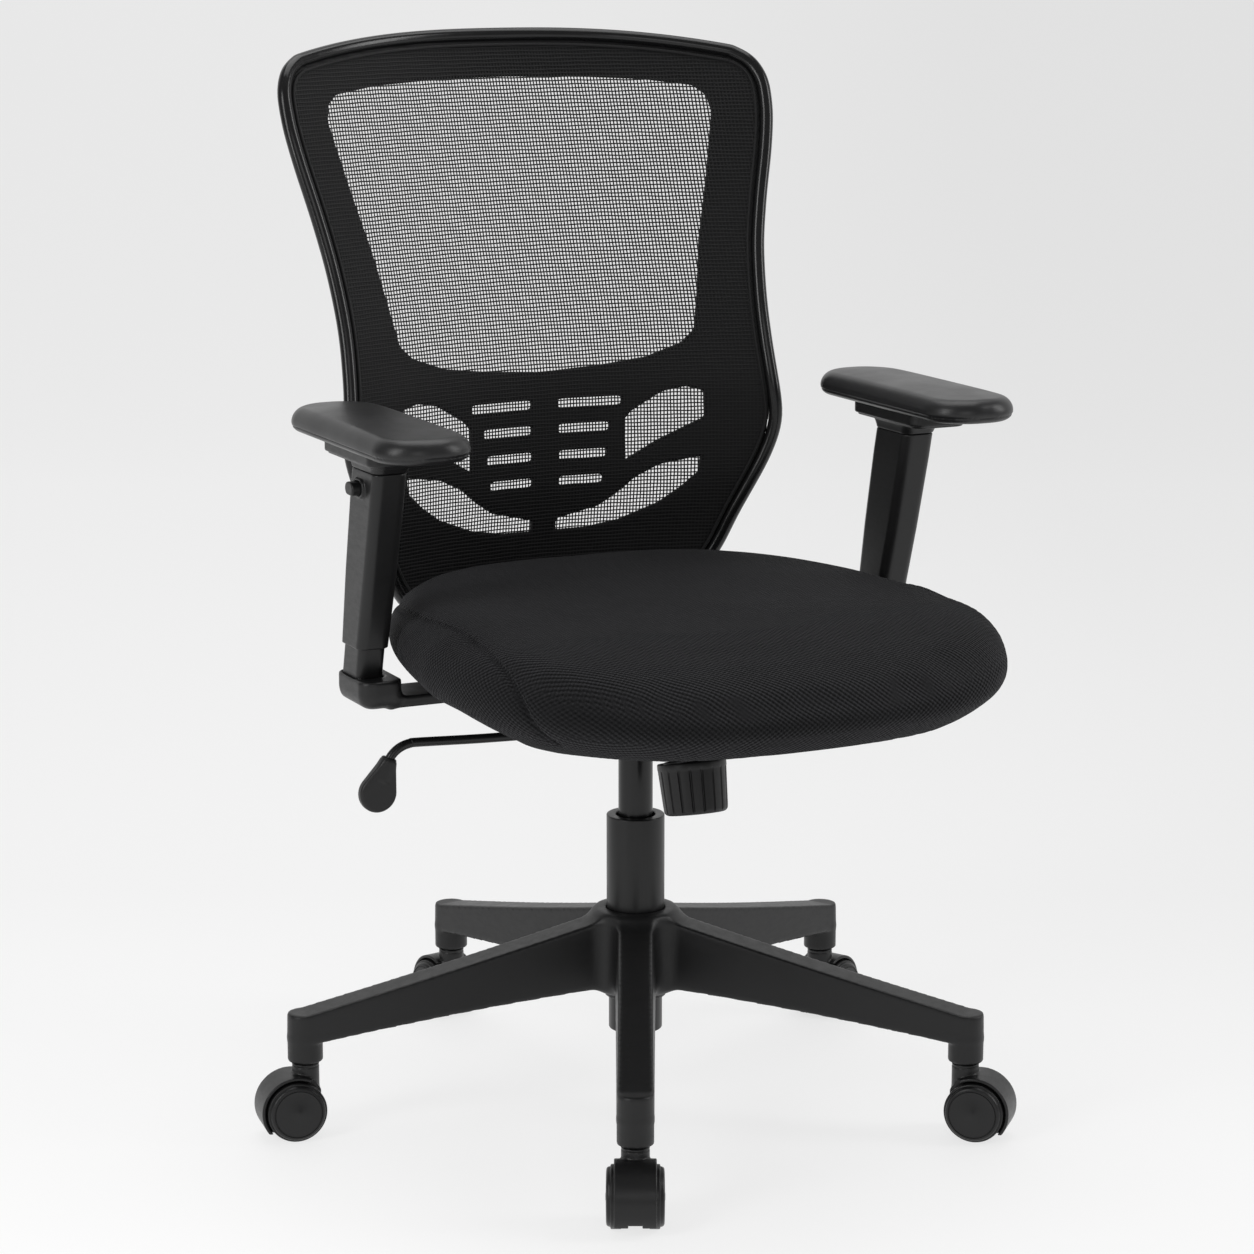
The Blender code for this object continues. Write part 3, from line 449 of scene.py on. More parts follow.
def metal(name, colour, roughness, along=(1, 1, 0.02), scale=2600, metallic=1.0):
    f = Finish(name, colour, roughness, metallic)
    lines = f.noise(scale, 3, 0.6, f.axes(along))
    spots = f.noise(160, 4, 0.6)
    f.to("Base Color", f.mix(f.span(spots, 0.4, 0.7, 0, 1), colour, tuple(c * 0.82 for c in colour)))
    f.to("Roughness", f.math("ADD", f.span(lines, 0.3, 0.7, roughness - 0.06, roughness + 0.10), f.span(spots, 0.4, 0.7, 0, 0.05)))
    f.to("Normal", f.bump(lines, 0.00002, 0.5))
    return f.mat


def paint(name, colour=(0.0100, 0.0100, 0.0105), roughness=0.34, peel=420, depth=0.00004):
    """Powder coat or enamel: a fine orange peel, with faint rubbed streaks along Z."""
    f = Finish(name, colour, roughness)
    skin, streak, broad = f.noise(peel, 3, 0.5), f.noise(220, 4, 0.6, f.axes((1, 1, 0.04))), f.noise(14, 3)
    f.to("Base Color", f.mix(f.math("MULTIPLY", f.span(streak, 0.5, 0.8, 0, 1), 0.5), colour, tuple(c * 1.5 for c in colour)))
    f.to("Roughness", f.math("ADD", f.span(streak, 0.3, 0.7, roughness - 0.04, roughness + 0.06), f.span(broad, 0.3, 0.7, -0.03, 0.03)))
    f.to("Normal", f.bump(skin, depth, 0.6))
    return f.mat


def pattern_uv(f, u, v, pitch_u, pitch_v):
    """Small dots in diagonal rows, from -1 to 1."""
    a = f.math("MULTIPLY", u, TAU / pitch_u)
    b = f.math("MULTIPLY", v, TAU / pitch_v)
    one = f.math("SINE", f.math("ADD", a, b))
    two = f.math("SINE", f.math("SUBTRACT", a, b))
    return f.math("MULTIPLY", f.math("ADD", f.math("MULTIPLY", one, 0.62), f.math("MULTIPLY", two, 0.38)), 1.0)


def knit(name, colour=(0.0085, 0.0085, 0.0092), pitch=0.0052, depth=0.00110):
    f = Finish(name, colour, 0.88, 0.0, 0.16)
    f.set("Sheen Weight", 0.07)
    f.set("Sheen Roughness", 0.45)
    f.set("Sheen Tint", (0.55, 0.55, 0.6, 1))
    wobble = f.noise(38, 2)
    split = f.tree.nodes.new("ShaderNodeSeparateXYZ")
    shifted = f.tree.nodes.new("ShaderNodeVectorMath")
    shifted.operation = "MULTIPLY_ADD"
    noise_vec = f.tree.nodes.new("ShaderNodeCombineXYZ")
    for k in range(3):
        f.link(wobble, noise_vec.inputs[k])
    f.link(noise_vec.outputs[0], shifted.inputs[0])
    shifted.inputs[1].default_value = (0.0016, 0.0012, 0.0014)
    f.link(f.place, shifted.inputs[2])
    f.link(shifted.outputs[0], split.inputs[0])
    x, y, z = split.outputs
    normal = f.tree.nodes.new("ShaderNodeNewGeometry").outputs["Normal"]
    object_normal = f.tree.nodes.new("ShaderNodeVectorTransform")
    object_normal.vector_type, object_normal.convert_from, object_normal.convert_to = "NORMAL", "WORLD", "OBJECT"
    f.link(normal, object_normal.inputs[0])
    parts = f.tree.nodes.new("ShaderNodeSeparateXYZ")
    f.link(object_normal.outputs[0], parts.inputs[0])
    weights = [f.math("POWER", f.math("ABSOLUTE", n), 5.0) for n in parts.outputs]
    total = f.math("ADD", f.math("ADD", weights[0], weights[1]), weights[2])
    side = pattern_uv(f, y, z, pitch, pitch * 0.8)
    face = pattern_uv(f, x, z, pitch, pitch * 0.8)
    top = pattern_uv(f, x, y, pitch, pitch * 0.8)
    height = f.math("ADD", f.math("ADD", f.math("MULTIPLY", weights[0], side), f.math("MULTIPLY", weights[1], face)), f.math("MULTIPLY", weights[2], top))
    height = f.math("DIVIDE", height, total)
    yarn, broad = f.noise(3200, 2), f.noise(11, 3)
    # painted shade: the low parts of the dot pattern take a far darker colour, as shade in the knit's pits
    shade = f.span(height, -0.9, 0.7, 0.0, 1.0)
    painted_pit_shade = tuple(c * 0.18 for c in colour)
    pale = tuple(c * 2.2 for c in colour)
    tone = f.mix(shade, painted_pit_shade, f.mix(f.span(yarn, 0.35, 0.65, 0, 1), colour, pale))
    tone = f.mix(f.math("MULTIPLY", f.span(broad, 0.4, 0.7, 0, 1), 0.25), tone, pale)
    f.to("Base Color", tone)
    f.to("Roughness", f.span(height, -1, 1, 0.95, 0.78))
    first = f.bump(height, depth, 1.0)
    f.to("Normal", f.bump(yarn, 0.00012, 0.8, first))
    return f.mat


def yarn_cloth(name, colour=(0.0070, 0.0070, 0.0074)):
    f = Finish(name, colour, 0.62, 0.0, 0.28)
    f.set("Sheen Weight", 0.06)
    f.set("Sheen Roughness", 0.4)
    twist = f.noise(2400, 2, 0.5, f.axes((1, 1, 2.5), (0, 0.6, 0)))
    broad = f.noise(18, 3)
    tone = f.mix(f.span(twist, 0.35, 0.7, 0, 1), tuple(c * 0.7 for c in colour), tuple(c * 1.5 for c in colour))
    tone = f.mix(f.math("MULTIPLY", f.span(broad, 0.4, 0.7, 0, 1), 0.3), tone, colour)
    f.to("Base Color", tone)
    f.to("Roughness", f.span(twist, 0.3, 0.7, 0.55, 0.72))
    f.to("Normal", f.bump(twist, 0.00006, 0.6))
    return f.mat


def ribbed(name, colour=(0.0042, 0.0042, 0.0045), pitch=0.0036):
    """The panel behind the cloth: fine ribs across, with moulded grain."""
    f = Finish(name, colour, 0.5, 0.0, 0.22)
    split = f.tree.nodes.new("ShaderNodeSeparateXYZ")
    f.link(f.place, split.inputs[0])
    wave = f.math("SINE", f.math("MULTIPLY", split.outputs[2], TAU / pitch))
    fine, broad = f.noise(2200, 2), f.noise(12, 3)
    tone = f.mix(f.span(broad, 0.35, 0.65, 0, 1), colour, tuple(c * 1.3 for c in colour))
    f.to("Base Color", tone)
    f.to("Roughness", f.span(fine, 0.3, 0.7, 0.44, 0.58))
    first = f.bump(wave, 0.00010, 0.4)
    f.to("Normal", f.bump(fine, 0.00004, 0.6, first))
    return f.mat


def soft_skin(name, colour=(0.0095, 0.0095, 0.0100)):
    """Moulded polyurethane: a fine leathery grain, satin."""
    f = Finish(name, colour, 0.36, 0.0, 0.42)
    grain, fine, broad = f.cells(900), f.noise(2600, 3), f.noise(26, 4)
    tone = f.mix(f.span(grain, 0.1, 0.6, 0, 1), tuple(c * 0.85 for c in colour), tuple(c * 1.15 for c in colour))
    f.to("Base Color", tone)
    f.to("Roughness", f.math("ADD", f.span(broad, 0.3, 0.7, 0.32, 0.40), f.span(fine, 0.3, 0.7, -0.02, 0.03)))
    first = f.bump(grain, 0.00005, 0.5)
    f.to("Normal", f.bump(fine, 0.00003, 0.5, first))
    return f.mat


NYLON = plastic("nylon_textured", (0.0075, 0.0075, 0.0078), 0.42)
NYLON_ARM = plastic("nylon_arm", (0.0075, 0.0075, 0.0078), 0.38, 2000, 0.00002)
CASTER = plastic("nylon_caster", (0.0072, 0.0072, 0.0075), 0.36, 2600, 0.000018, 0.5)
TREAD_SKIN = plastic("nylon_tread", (0.0150, 0.0150, 0.0155), 0.46, 1800, 0.00004, 0.6)
RIM = plastic("rim_satin_gloss", (0.0060, 0.0060, 0.0063), 0.20, 1400, 0.000008, 0.2)
KNOB = plastic("knob_moulded", (0.0072, 0.0072, 0.0075), 0.44, 1800, 0.00004, 0.6)
BOARD = plastic("moulded_shell", (0.0140, 0.0140, 0.0140), 0.55, 1500, 0.00006, 0.3)
TUBE_PAINT = paint("column_enamel", (0.0075, 0.0075, 0.0078), 0.33)
PISTON_PAINT = paint("piston_black", (0.0048, 0.0048, 0.0051), 0.22, 700, 0.00001)
BLACK_STEEL = paint("powder_coat", (0.0072, 0.0072, 0.0075), 0.40, 900, 0.00005)
ROD_PAINT = paint("rod_black", (0.0060, 0.0060, 0.0063), 0.28, 900, 0.00002)
STEEL = metal("machined_steel", (0.50, 0.50, 0.51), 0.30)
DARK_STEEL = metal("blackened_steel", (0.06, 0.06, 0.062), 0.36, (1, 1, 0.2), 1800)
BUSH = plastic("bush_plastic", (0.03, 0.03, 0.03), 0.5, 1500, 0.00003)
KNIT = knit("spacer_knit")
CLOTH = yarn_cloth("open_mesh_yarn")
PANEL = ribbed("back_panel_moulding")
SKIN = soft_skin("soft_touch_pad")
THREAD = yarn_cloth("stitch_thread", (0.016, 0.016, 0.017))

for name, obj in NODES.items():
    mat = NYLON
    if name.endswith(("_stem", "_axle")) or name in ("gas_spring_rod", "thrust_bearing", "tilt_pivot_shaft"):
        mat = STEEL
    elif name.startswith(("tension_bolt", "back_bar_bolt")):
        mat = DARK_STEEL
    elif name in ("seat_mounting_plate", "back_support_bar", "tilt_mechanism_housing", "tension_spring"):
        mat = BLACK_STEEL
    elif name == "seat_pan":
        mat = BOARD
    elif name == "gas_lift_guide_bush":
        mat = BUSH
    obj.data.materials.clear()
    obj.data.materials.append(mat)


# ------------------------------------------------------------------ five-star base
def leg_shape(x, y, z):
    """One leg along +X from the column's axis, its end round in plan, its top narrower than its bottom."""
    t = np.clip(x / STEM_RADIUS, 0.0, 1.0)
    top = lerp(0.1895, 0.1162, t) - 0.0016 * np.sin(np.pi * t)
    low = lerp(0.1185, 0.0880, t) + 0.0030 * np.sin(np.pi * t)
    part = np.clip((z - low) / (top - low), 0, 1)
    half = lerp(0.0192, 0.0164, t) * (1 - lerp(0.16, 0.04, t**2) * part)
    past = np.maximum(x - STEM_RADIUS, 0)
    side = np.where(x < STEM_RADIUS, np.abs(y), np.hypot(past, y)) - half
    body = rmax(side, (z - top) * 0.975, 0.0020)
    body = rmax(body, (low - z) * 0.99, 0.0035)
    # a hollow underside with cross ribs
    inner = np.maximum(np.abs(y) - (half - 0.0036), np.maximum(0.066 - x, x - 0.292))
    inner = np.maximum(inner, z - (low + 0.0150))
    rib = np.abs((x - 0.066) % 0.0452 - 0.0226) - 0.0208
    inner = rmax(inner, rib, 0.0015)
    body = rmax(body, -inner, 0.001)
    # socket: a round boss with a step in at its foot
    r = np.hypot(x - STEM_RADIUS, y)
    boss = rmax(r - 0.0161, np.maximum(0.0702 - z, z - 0.0960), 0.0016)
    body = rmin(body, boss, 0.0012)
    return np.maximum(body, -np.maximum(r - 0.0061, z - 0.1085))


def base_shape(x, y, z):
    r = np.hypot(x, y)
    a = np.arctan2(y, x) - LEG_TURN
    fold = TAU / LEGS
    a = np.abs((a + fold / 2) % fold - fold / 2)
    near = leg_shape(r * np.cos(a), r * np.sin(a), z)
    b = fold - a
    other = leg_shape(r * np.cos(b), r * np.sin(b), z)
    legs = rmin(near, other, 0.0160)
    hub = rmax(r - 0.0372, np.maximum(z - 0.1880, 0.1130 - z), 0.0040)
    whole = rmin(legs, hub, 0.0150)
    whole = rmax(whole, z - 0.1885, 0.0030)
    whole = rmin(whole, rmax(r - 0.0290, np.maximum(0.1030 - z, z - 0.150), 0.0015), 0.0025)
    bore = np.minimum(np.maximum(r - 0.0253, 0.0 * z), np.maximum(r - 0.0273, 0.1835 - z))
    whole = rmax(whole, -bore, 0.0006)
    return whole


verts, faces = nets(base_shape, (-0.338, -0.338, 0.066), (0.338, 0.338, 0.1925), 0.0019)
put("base_moulding", mesh_of(verts, faces), "base", ("five_star_base",), NYLON)


# ------------------------------------------------------------------ casters, in a space with the stem on Z and the wheels trailing along +X
TRAIL, AXLE_Z = 0.0125, 0.0275


def hood_shape(x, y, z):
    r = np.hypot(x - TRAIL, z - AXLE_Z)
    shell = rmax(np.maximum(r - 0.0322, 0.0291 - r), np.abs(y) - 0.0183, 0.0007)
    shell = np.maximum(shell, -np.maximum(x + 0.0006, z - 0.0552))  # open towards the front, under the neck
    shell = rmax(shell, 0.0082 - z, 0.0010)
    web = np.maximum(r - 0.0300, np.abs(y) - 0.0106)
    web = rmax(web, 0.0072 - z, 0.0010)
    web = rmax(web, -(x + 0.0120), 0.0010)
    body = rmin(shell, web, 0.0012)
    c = np.hypot(x, y)
    neck = rmax(c - 0.0124, np.maximum(z - 0.0691, 0.0300 - z), 0.0009)
    neck = np.maximum(neck, np.where(z < 0.0540, np.abs(y) - 0.0106, -1.0))
    body = rmin(body, neck, 0.0016)
    groove = np.maximum(np.abs(z - 0.0662) - 0.0005, 0.0118 - c)
    body = np.maximum(body, -groove)
    body = np.maximum(body, -np.maximum(c - 0.0058, 0.0560 - z))
    # a small rectangular notch at the foot of the rear wall
    notch = np.maximum(np.abs(y) - 0.0060, np.maximum(z - 0.0125, 0.030 - x))
    return np.maximum(body, -notch)


hood_verts, hood_faces = nets(hood_shape, (-0.0150, -0.0200, 0.0055), (0.0465, 0.0200, 0.0705), 0.0008)
hood_mesh = mesh_of(hood_verts, hood_faces)
TO_AXLE = Matrix.Translation((TRAIL, 0, AXLE_Z)) @ Matrix.Rotation(math.radians(90), 4, "X")
wheel_mesh = turned(
    [(0, 0.02555), (0.0030, 0.02555), (0.0034, 0.02535), (0.0212, 0.0250), (0.0216, 0.0243), (0.0221, 0.0243), (0.0225, 0.0249)]
    + [(0.0225 + 0.0030 * math.sin(math.radians(q)), 0.0249 - 0.0030 * (1 - math.cos(math.radians(q)))) for q in range(15, 91, 15)]
    + [(0.0258, 0.0216), (0.0258, 0.0210)]
    + [(0.0275 - 0.0015 * (1 - math.sin(math.radians(q))), 0.0203 + 0.0010 * math.cos(math.radians(q))) for q in range(0, 91, 18)]
    + [(0.0275, 0.0130)]
    + [(0.0275 - 0.0010 * (1 - math.cos(math.radians(q))), 0.0128 - 0.0010 * math.sin(math.radians(q))) for q in range(20, 91, 23)]
    + [(0.0210, 0.0118), (0.0205, 0.0130), (0.0080, 0.0130), (0.0075, 0.0118), (0.0034, 0.0118), (0.0034, 0.0205), (0, 0.0205)],
    72,
)
wheel_mesh = moved(wheel_mesh, TO_AXLE)
for i, to_leg in enumerate(LEG_SPACES):
    tag = f"caster_{i + 1}"
    put(tag + "_hood_moulding", moved(hood_mesh, to_leg), tag, (tag + "_hood",), CASTER)
    flip = to_leg @ Matrix.Translation((TRAIL, 0, 0)) @ Matrix.Rotation(math.pi, 4, "Z") @ Matrix.Translation((-TRAIL, 0, 0))
    # wheel a is on the -Y side of the caster, as the CAD node of that name is
    for letter, space in (("a", to_leg), ("b", flip)):
        made = put(f"{tag}_disc_{letter}", moved(wheel_mesh, space), f"{tag}_wheel_{letter}", (f"{tag}_wheel_{letter}",), CASTER, 40)

# ------------------------------------------------------------------ gas lift
put("cover_tube", turned(rounded([(0.0254, 0.1838), (0.0254, 0.2730), (0.0184, 0.2734), (0.0184, 0.2772), (0.0270, 0.2772), (0.0270, 0.1838), (0.0254, 0.1838)][::-1], 0.0012), 128), "base", ("column_cover_sleeve",), TUBE_PAINT, 40)
put("lift_tube", turned(rounded([(0.0230, 0.2620), (0.0250, 0.2620), (0.0250, 0.0706), (0.0055, 0.0706), (0.0055, 0.0765), (0.0230, 0.0765), (0.0230, 0.2620)], 0.0016), 96), "base", ("gas_lift_outer_tube",), TUBE_PAINT, 40)
put("lift_bush", turned(rounded([(0.0164, 0.2658), (0.0245, 0.2658), (0.0245, 0.2623), (0.0226, 0.2623), (0.0226, 0.1900), (0.0164, 0.1900), (0.0164, 0.2658)], 0.0007), 80), "base", ("gas_lift_guide_bush",), BUSH, 40)
put("piston", turned(rounded([(0, 0.3640), (0.0160, 0.3640), (0.0160, 0.1370), (0.0056, 0.1370), (0.0056, 0.3000), (0, 0.3000)], 0.0012), 80), "mechanism", ("gas_spring_cylinder",), PISTON_PAINT, 40)


# ------------------------------------------------------------------ tilt mechanism
def rbox(x, y, z, hx, hy, hz, r):
    qx, qy, qz = np.abs(x) - hx + r, np.abs(y) - hy + r, np.abs(z) - hz + r
    out = np.sqrt(np.maximum(qx, 0) ** 2 + np.maximum(qy, 0) ** 2 + np.maximum(qz, 0) ** 2)
    return out + np.minimum(np.maximum(qx, np.maximum(qy, qz)), 0) - r


def rrect(x, y, hx, hy, r):
    qx, qy = np.abs(x) - hx + r, np.abs(y) - hy + r
    return np.hypot(np.maximum(qx, 0), np.maximum(qy, 0)) + np.minimum(np.maximum(qx, qy), 0) - r


KNOB_AT = Vector((0.0020, -0.1160, 0.3290))
TO_KNOB = Matrix.Translation(KNOB_AT) @ Matrix.Rotation(-math.radians(13.0), 4, "X")
FROM_KNOB = TO_KNOB.inverted()


def knob_space(x, y, z):
    m = FROM_KNOB
    return tuple(m[k][0] * x + m[k][1] * y + m[k][2] * z + m[k][3] for k in range(3))


def house_shape(x, y, z):
    deep = lerp(0.3655, 0.3502, ramp(y, -0.074, -0.050))
    tub = rmax(rrect(x, y + 0.055, 0.0518, 0.0998, 0.010), np.maximum(z - 0.3858, deep - z), 0.0030)
    cone = np.hypot(x, y) - lerp(0.0205, 0.0330, np.clip((z - 0.3370) / 0.019, 0, 1))
    boss = rmax(cone * 0.85, np.maximum(0.3372 - z, z - 0.370), 0.0012)
    body = rmin(tub, boss, 0.0030)
    collar_x, collar_y, collar_z = knob_space(x, y, z)
    seat = rmax(np.hypot(collar_x, collar_y) - 0.0262, np.maximum(0.0300 - collar_z, collar_z - 0.045), 0.0010)
    body = rmin(body, seat, 0.0020)
    # ribs pressed along the underside
    for at in (-0.030, 0.030):
        body = np.maximum(body, -np.maximum(np.hypot(x - at, z - deep) - 0.0022, np.abs(y + 0.010) - 0.040))
    body = np.maximum(body, -np.maximum(np.hypot(x, y) - 0.0163, z - 0.3643))
    body = np.maximum(body, -(np.hypot(y + 0.080, z - 0.3770) - 0.0053))
    return np.maximum(body, -np.maximum(np.hypot(collar_x, collar_y) - 0.0048, collar_z - 0.052))


verts, faces = nets(house_shape, (-0.054, -0.158, 0.332), (0.054, 0.049, 0.3895), 0.0013)
put("mechanism_casing", mesh_of(verts, faces), "mechanism", ("tilt_mechanism_housing",), BLACK_STEEL)

KNOB_HALF = 0.0235


def knob_groove(a, r, z):
    if r < 0.0265 or z < -KNOB_HALF + 0.0015 or z > KNOB_HALF - 0.0060:
        return r
    wave = (a / TAU * 18) % 1.0
    away = min(wave, 1 - wave) / 18 * TAU * r  # metres from the groove's middle
    fade = min(1.0, (KNOB_HALF - 0.0060 - z) / 0.002, (z + KNOB_HALF - 0.0015) / 0.002)
    return r - 0.0016 * max(0.0, 1 - (away / 0.0011) ** 2) ** 0.5 * fade if away < 0.0011 else r


wall = [(0.0, -KNOB_HALF), (0.0240, -KNOB_HALF)]
wall += [(0.0243 + 0.0045 * math.sin(math.radians(q)), -KNOB_HALF + 0.0045 * (1 - math.cos(math.radians(q)))) for q in range(10, 91, 10)]
wall += [(lerp(0.0289, 0.0308, k / 10), lerp(-KNOB_HALF + 0.0050, KNOB_HALF - 0.0080, k / 10)) for k in range(1, 11)]
wall += [(0.0309, KNOB_HALF - 0.0065), (0.0312, KNOB_HALF - 0.0058), (0.0312, KNOB_HALF - 0.0012), (0.0306, KNOB_HALF - 0.0002), (0.0298, KNOB_HALF)]
wall += [(0.0282, KNOB_HALF - 0.0002), (0.0273, KNOB_HALF - 0.0010), (0.0272, -KNOB_HALF + 0.0100), (0.0, -KNOB_HALF + 0.0095)]
put("knob_grip", moved(turned(wall[::-1], 432, shape=knob_groove), TO_KNOB), "knob", ("tension_knob",), KNOB, 50)
coil = []
TURNS = 5.5
for k in range(int(TURNS * 40) + 1):
    a = TAU * k / 40
    part = k / (TURNS * 40)
    flat = min(1.0, max(0.0, (part - 0.09) / 0.82))
    coil.append(TO_KNOB @ Vector((0.0232 * math.cos(a), 0.0232 * math.sin(a), -0.0116 + 0.0405 * lerp(part, flat, 0.55))))
put("compression_spring", tube(coil, 0.0023, 12), "mechanism", ("tension_spring",), DARK_STEEL)

# ------------------------------------------------------------------ control lever
LEVER_Y, LEVER_Z = -0.0350, 0.3710
TO_BUSH = Matrix.Translation((-0.0630, LEVER_Y, LEVER_Z)) @ Matrix.Rotation(math.radians(90), 4, "Y")
put("lever_grommet", moved(turned(rounded([(0.0066, -0.0095), (0.0110, -0.0095), (0.0112, 0.0095), (0.0066, 0.0095), (0.0066, -0.0095)][::-1], 0.0009), 64), TO_BUSH), "lever_bush", ("lever_bush",), NYLON_ARM, 40)
TIP = Vector((-0.2600, LEVER_Y - 0.001, 0.3640))
ALONG = Vector((-0.36, 0.0, -0.93)).normalized()
path = [Vector((-0.0550, LEVER_Y, LEVER_Z - 0.0006)), Vector((-0.1000, LEVER_Y, LEVER_Z + 0.0010)), Vector((-0.1700, LEVER_Y, 0.3744)), Vector((-0.2310, LEVER_Y, 0.3775))]
bend = [path[-1].lerp(Vector((-0.2508, LEVER_Y, 0.3788)), t) * (1 - t) + Vector((-0.2508, LEVER_Y, 0.3788)).lerp(TIP, t) * t for t in (0.2, 0.4, 0.6, 0.8)]
put("lever_wire", tube(smooth_line(path + bend + [TIP, TIP + ALONG * 0.006], 6), 0.0042, 24), "lever", ("control_lever_rod",), ROD_PAINT)
ACROSS = Vector((ALONG.z, 0.0, -ALONG.x))


def paddle_shape(u, v, w):
    """u runs from the rod to the foot, v across, w through the thickness."""
    # an uneven capsule: a small circle at the rod, a large one at the foot
    r0, r1, length = 0.0060, 0.0172, 0.0300
    k = (r1 - r0) / length
    side = math.sqrt(1 - k * k)
    across = np.abs(v)
    proj_u = u + across * k / side
    near_rod, near_foot = np.hypot(u, across) - r0, np.hypot(u - length, across) - r1
    slope = across * side - u * k - r0
    plan = np.where(proj_u < 0, near_rod, np.where(proj_u > length, near_foot, slope))
    thick = 0.0050 + 0.0012 * np.clip(1 - u / 0.047, 0, 1)
    flat = rmax(rmax(plan, np.abs(w) - thick, 0.0034), -u - 0.0010, 0.0015)
    neck = rmax(np.hypot(v, w) - 0.0067, np.maximum(-u - 0.0035, u - 0.018), 0.0012)
    body = rmin(flat, neck, 0.0030)
    return np.maximum(body, -np.maximum(np.hypot(v, w) - 0.0045, u - 0.008))


verts, faces = nets(paddle_shape, (-0.006, -0.020, -0.0085), (0.0495, 0.020, 0.0085), 0.0007)
start = TIP + ALONG * 0.0006
to_paddle = Matrix(((ALONG.x, ACROSS.x, 0, start.x), (ALONG.y, ACROSS.y, -1, start.y), (ALONG.z, ACROSS.z, 0, start.z), (0, 0, 0, 1)))
put("lever_paddle_grip", moved(mesh_of(verts, faces), to_paddle), "lever", ("control_lever_paddle",), NYLON_ARM)

# ------------------------------------------------------------------ seat cushion
SEAT_FRONT, SEAT_REAR, SEAT_WIDE_AT = -0.370, 0.182, -0.120
SEAT_HALF_FRONT, SEAT_HALF_REAR = 0.262, 0.215
SEAT_TOP, SEAT_BOTTOM = 0.4970, 0.4252


def seat_point(a, inset=0.0, front=2.7, rear=3.5):
    c, s = math.cos(a), math.sin(a)
    n = front if s < 0 else rear
    reach = (SEAT_WIDE_AT - SEAT_FRONT if s < 0 else SEAT_REAR - SEAT_WIDE_AT) - inset
    y = SEAT_WIDE_AT + math.copysign(reach * abs(s) ** (2 / n), s)
    wide = SEAT_HALF_FRONT
    if s > 0:
        wide += (SEAT_HALF_REAR - SEAT_HALF_FRONT) * (y - SEAT_WIDE_AT) / reach
    return math.copysign((wide - inset) * abs(c) ** (2 / n), c), y


def seat_ring(inset, count, front=2.7, rear=3.5):
    """Points spaced evenly along the outline, from +X counter-clockwise."""
    fine = [Vector(seat_point(TAU * k / 1440, inset, front, rear)) for k in range(1440)]
    lengths = [0.0]
    for k in range(1440):
        lengths.append(lengths[-1] + (fine[(k + 1) % 1440] - fine[k]).length)
    out, k = [], 0
    for i in range(count):
        want = lengths[-1] * i / count
        while lengths[k + 1] < want:
            k += 1
        t = (want - lengths[k]) / max(lengths[k + 1] - lengths[k], 1e-9)
        out.append(fine[k].lerp(fine[(k + 1) % 1440], t))
    return out


def waterfall(y):
    t = max(0.0, (-0.20 - y) / 0.17)
    return -0.034 * t * t


def apron(y):
    """How far the cover hangs below the pan in front, round the pan's edge."""
    t = min(1.0, max(0.0, (-0.150 - y) / 0.110))
    return -0.0125 * t * t * (3 - 2 * t)


def cushion_form(shrink):
    """The cushion's closed form, from its underside up and over to the middle of its top."""
    T = SEAT_TOP - SEAT_BOTTOM
    rows = [(0.150, 0.000), (0.060, 0.000), (0.0440, 0.000), (0.0425, 0.001), (0.0300, 0.000), (0.0215, 0.030), (0.0145, 0.080), (0.0090, 0.140), (0.0048, 0.210), (0.0020, 0.290), (0.0005, 0.370), (0.000, 0.450)]
    rows += [(0.0003, 0.540), (0.0018, 0.640), (0.0050, 0.735), (0.0100, 0.820), (0.0170, 0.888), (0.0260, 0.936), (0.0380, 0.966), (0.060, 0.986), (0.100, 0.998), (0.130, 1.0)]
    count = 200
    verts, rings = [], []
    for inset, h in rows:
        ring = []
        tucked = inset < 0.042 and h < 0.45
        narrow = seat_ring(min(inset * 1.42, 0.0424) + shrink, count) if tucked else None
        for k, p in enumerate(seat_ring(inset + shrink, count)):
            if tucked:  # the sides are tucked in further than the front
                p = p.lerp(narrow[k], float(ramp(abs(p.x), 0.110, 0.215)))
            drop_by = waterfall(p.y) * min(1.0, max(0.0, h - 0.15) / 0.70)
            skirt = apron(p.y) * (1 - h) ** 3 if inset < 0.042 else 0.0
            z = SEAT_BOTTOM + shrink * 0.2 + (T - shrink * 1.0) * h + drop_by + skirt
            ring.append(len(verts))
            verts.append((p.x, p.y, z))
        rings.append(ring)
    faces = []
    for low, high in zip(rings, rings[1:]):
        for i in range(count):
            j = (i + 1) % count
            faces.append((low[i], low[j], high[j], high[i]))
    bm = bmesh.new()
    made = [bm.verts.new(v) for v in verts]
    for f in faces:
        bm.faces.new([made[i] for i in f])
    for ring, side in ((rings[0], -1), (rings[-1], 1)):
        inner = [made[i] for i in ring]
        centre = sum((v.co for v in inner), Vector()) / len(inner)
        for share in (0.75, 0.5, 0.25):
            new = [bm.verts.new(centre.lerp(made[i].co, share)) for i in ring]
            for k in range(count):
                j = (k + 1) % count
                bm.faces.new((inner[k], inner[j], new[j], new[k]))
            inner = new
        middle = bm.verts.new(centre)
        for k in range(count):
            bm.faces.new((inner[k], inner[(k + 1) % count], middle))
    bmesh.ops.recalc_face_normals(bm, faces=bm.faces)
    mesh = bpy.data.meshes.new("cushion")
    bm.to_mesh(mesh)
    bm.free()
    return mesh


def remeshed(mesh, size):
    obj = scratch(mesh)
    mod = obj.modifiers.new("Remesh", "REMESH")
    mod.mode, mod.voxel_size = "VOXEL", size
    made = baked(obj)
    drop(obj)
    return made


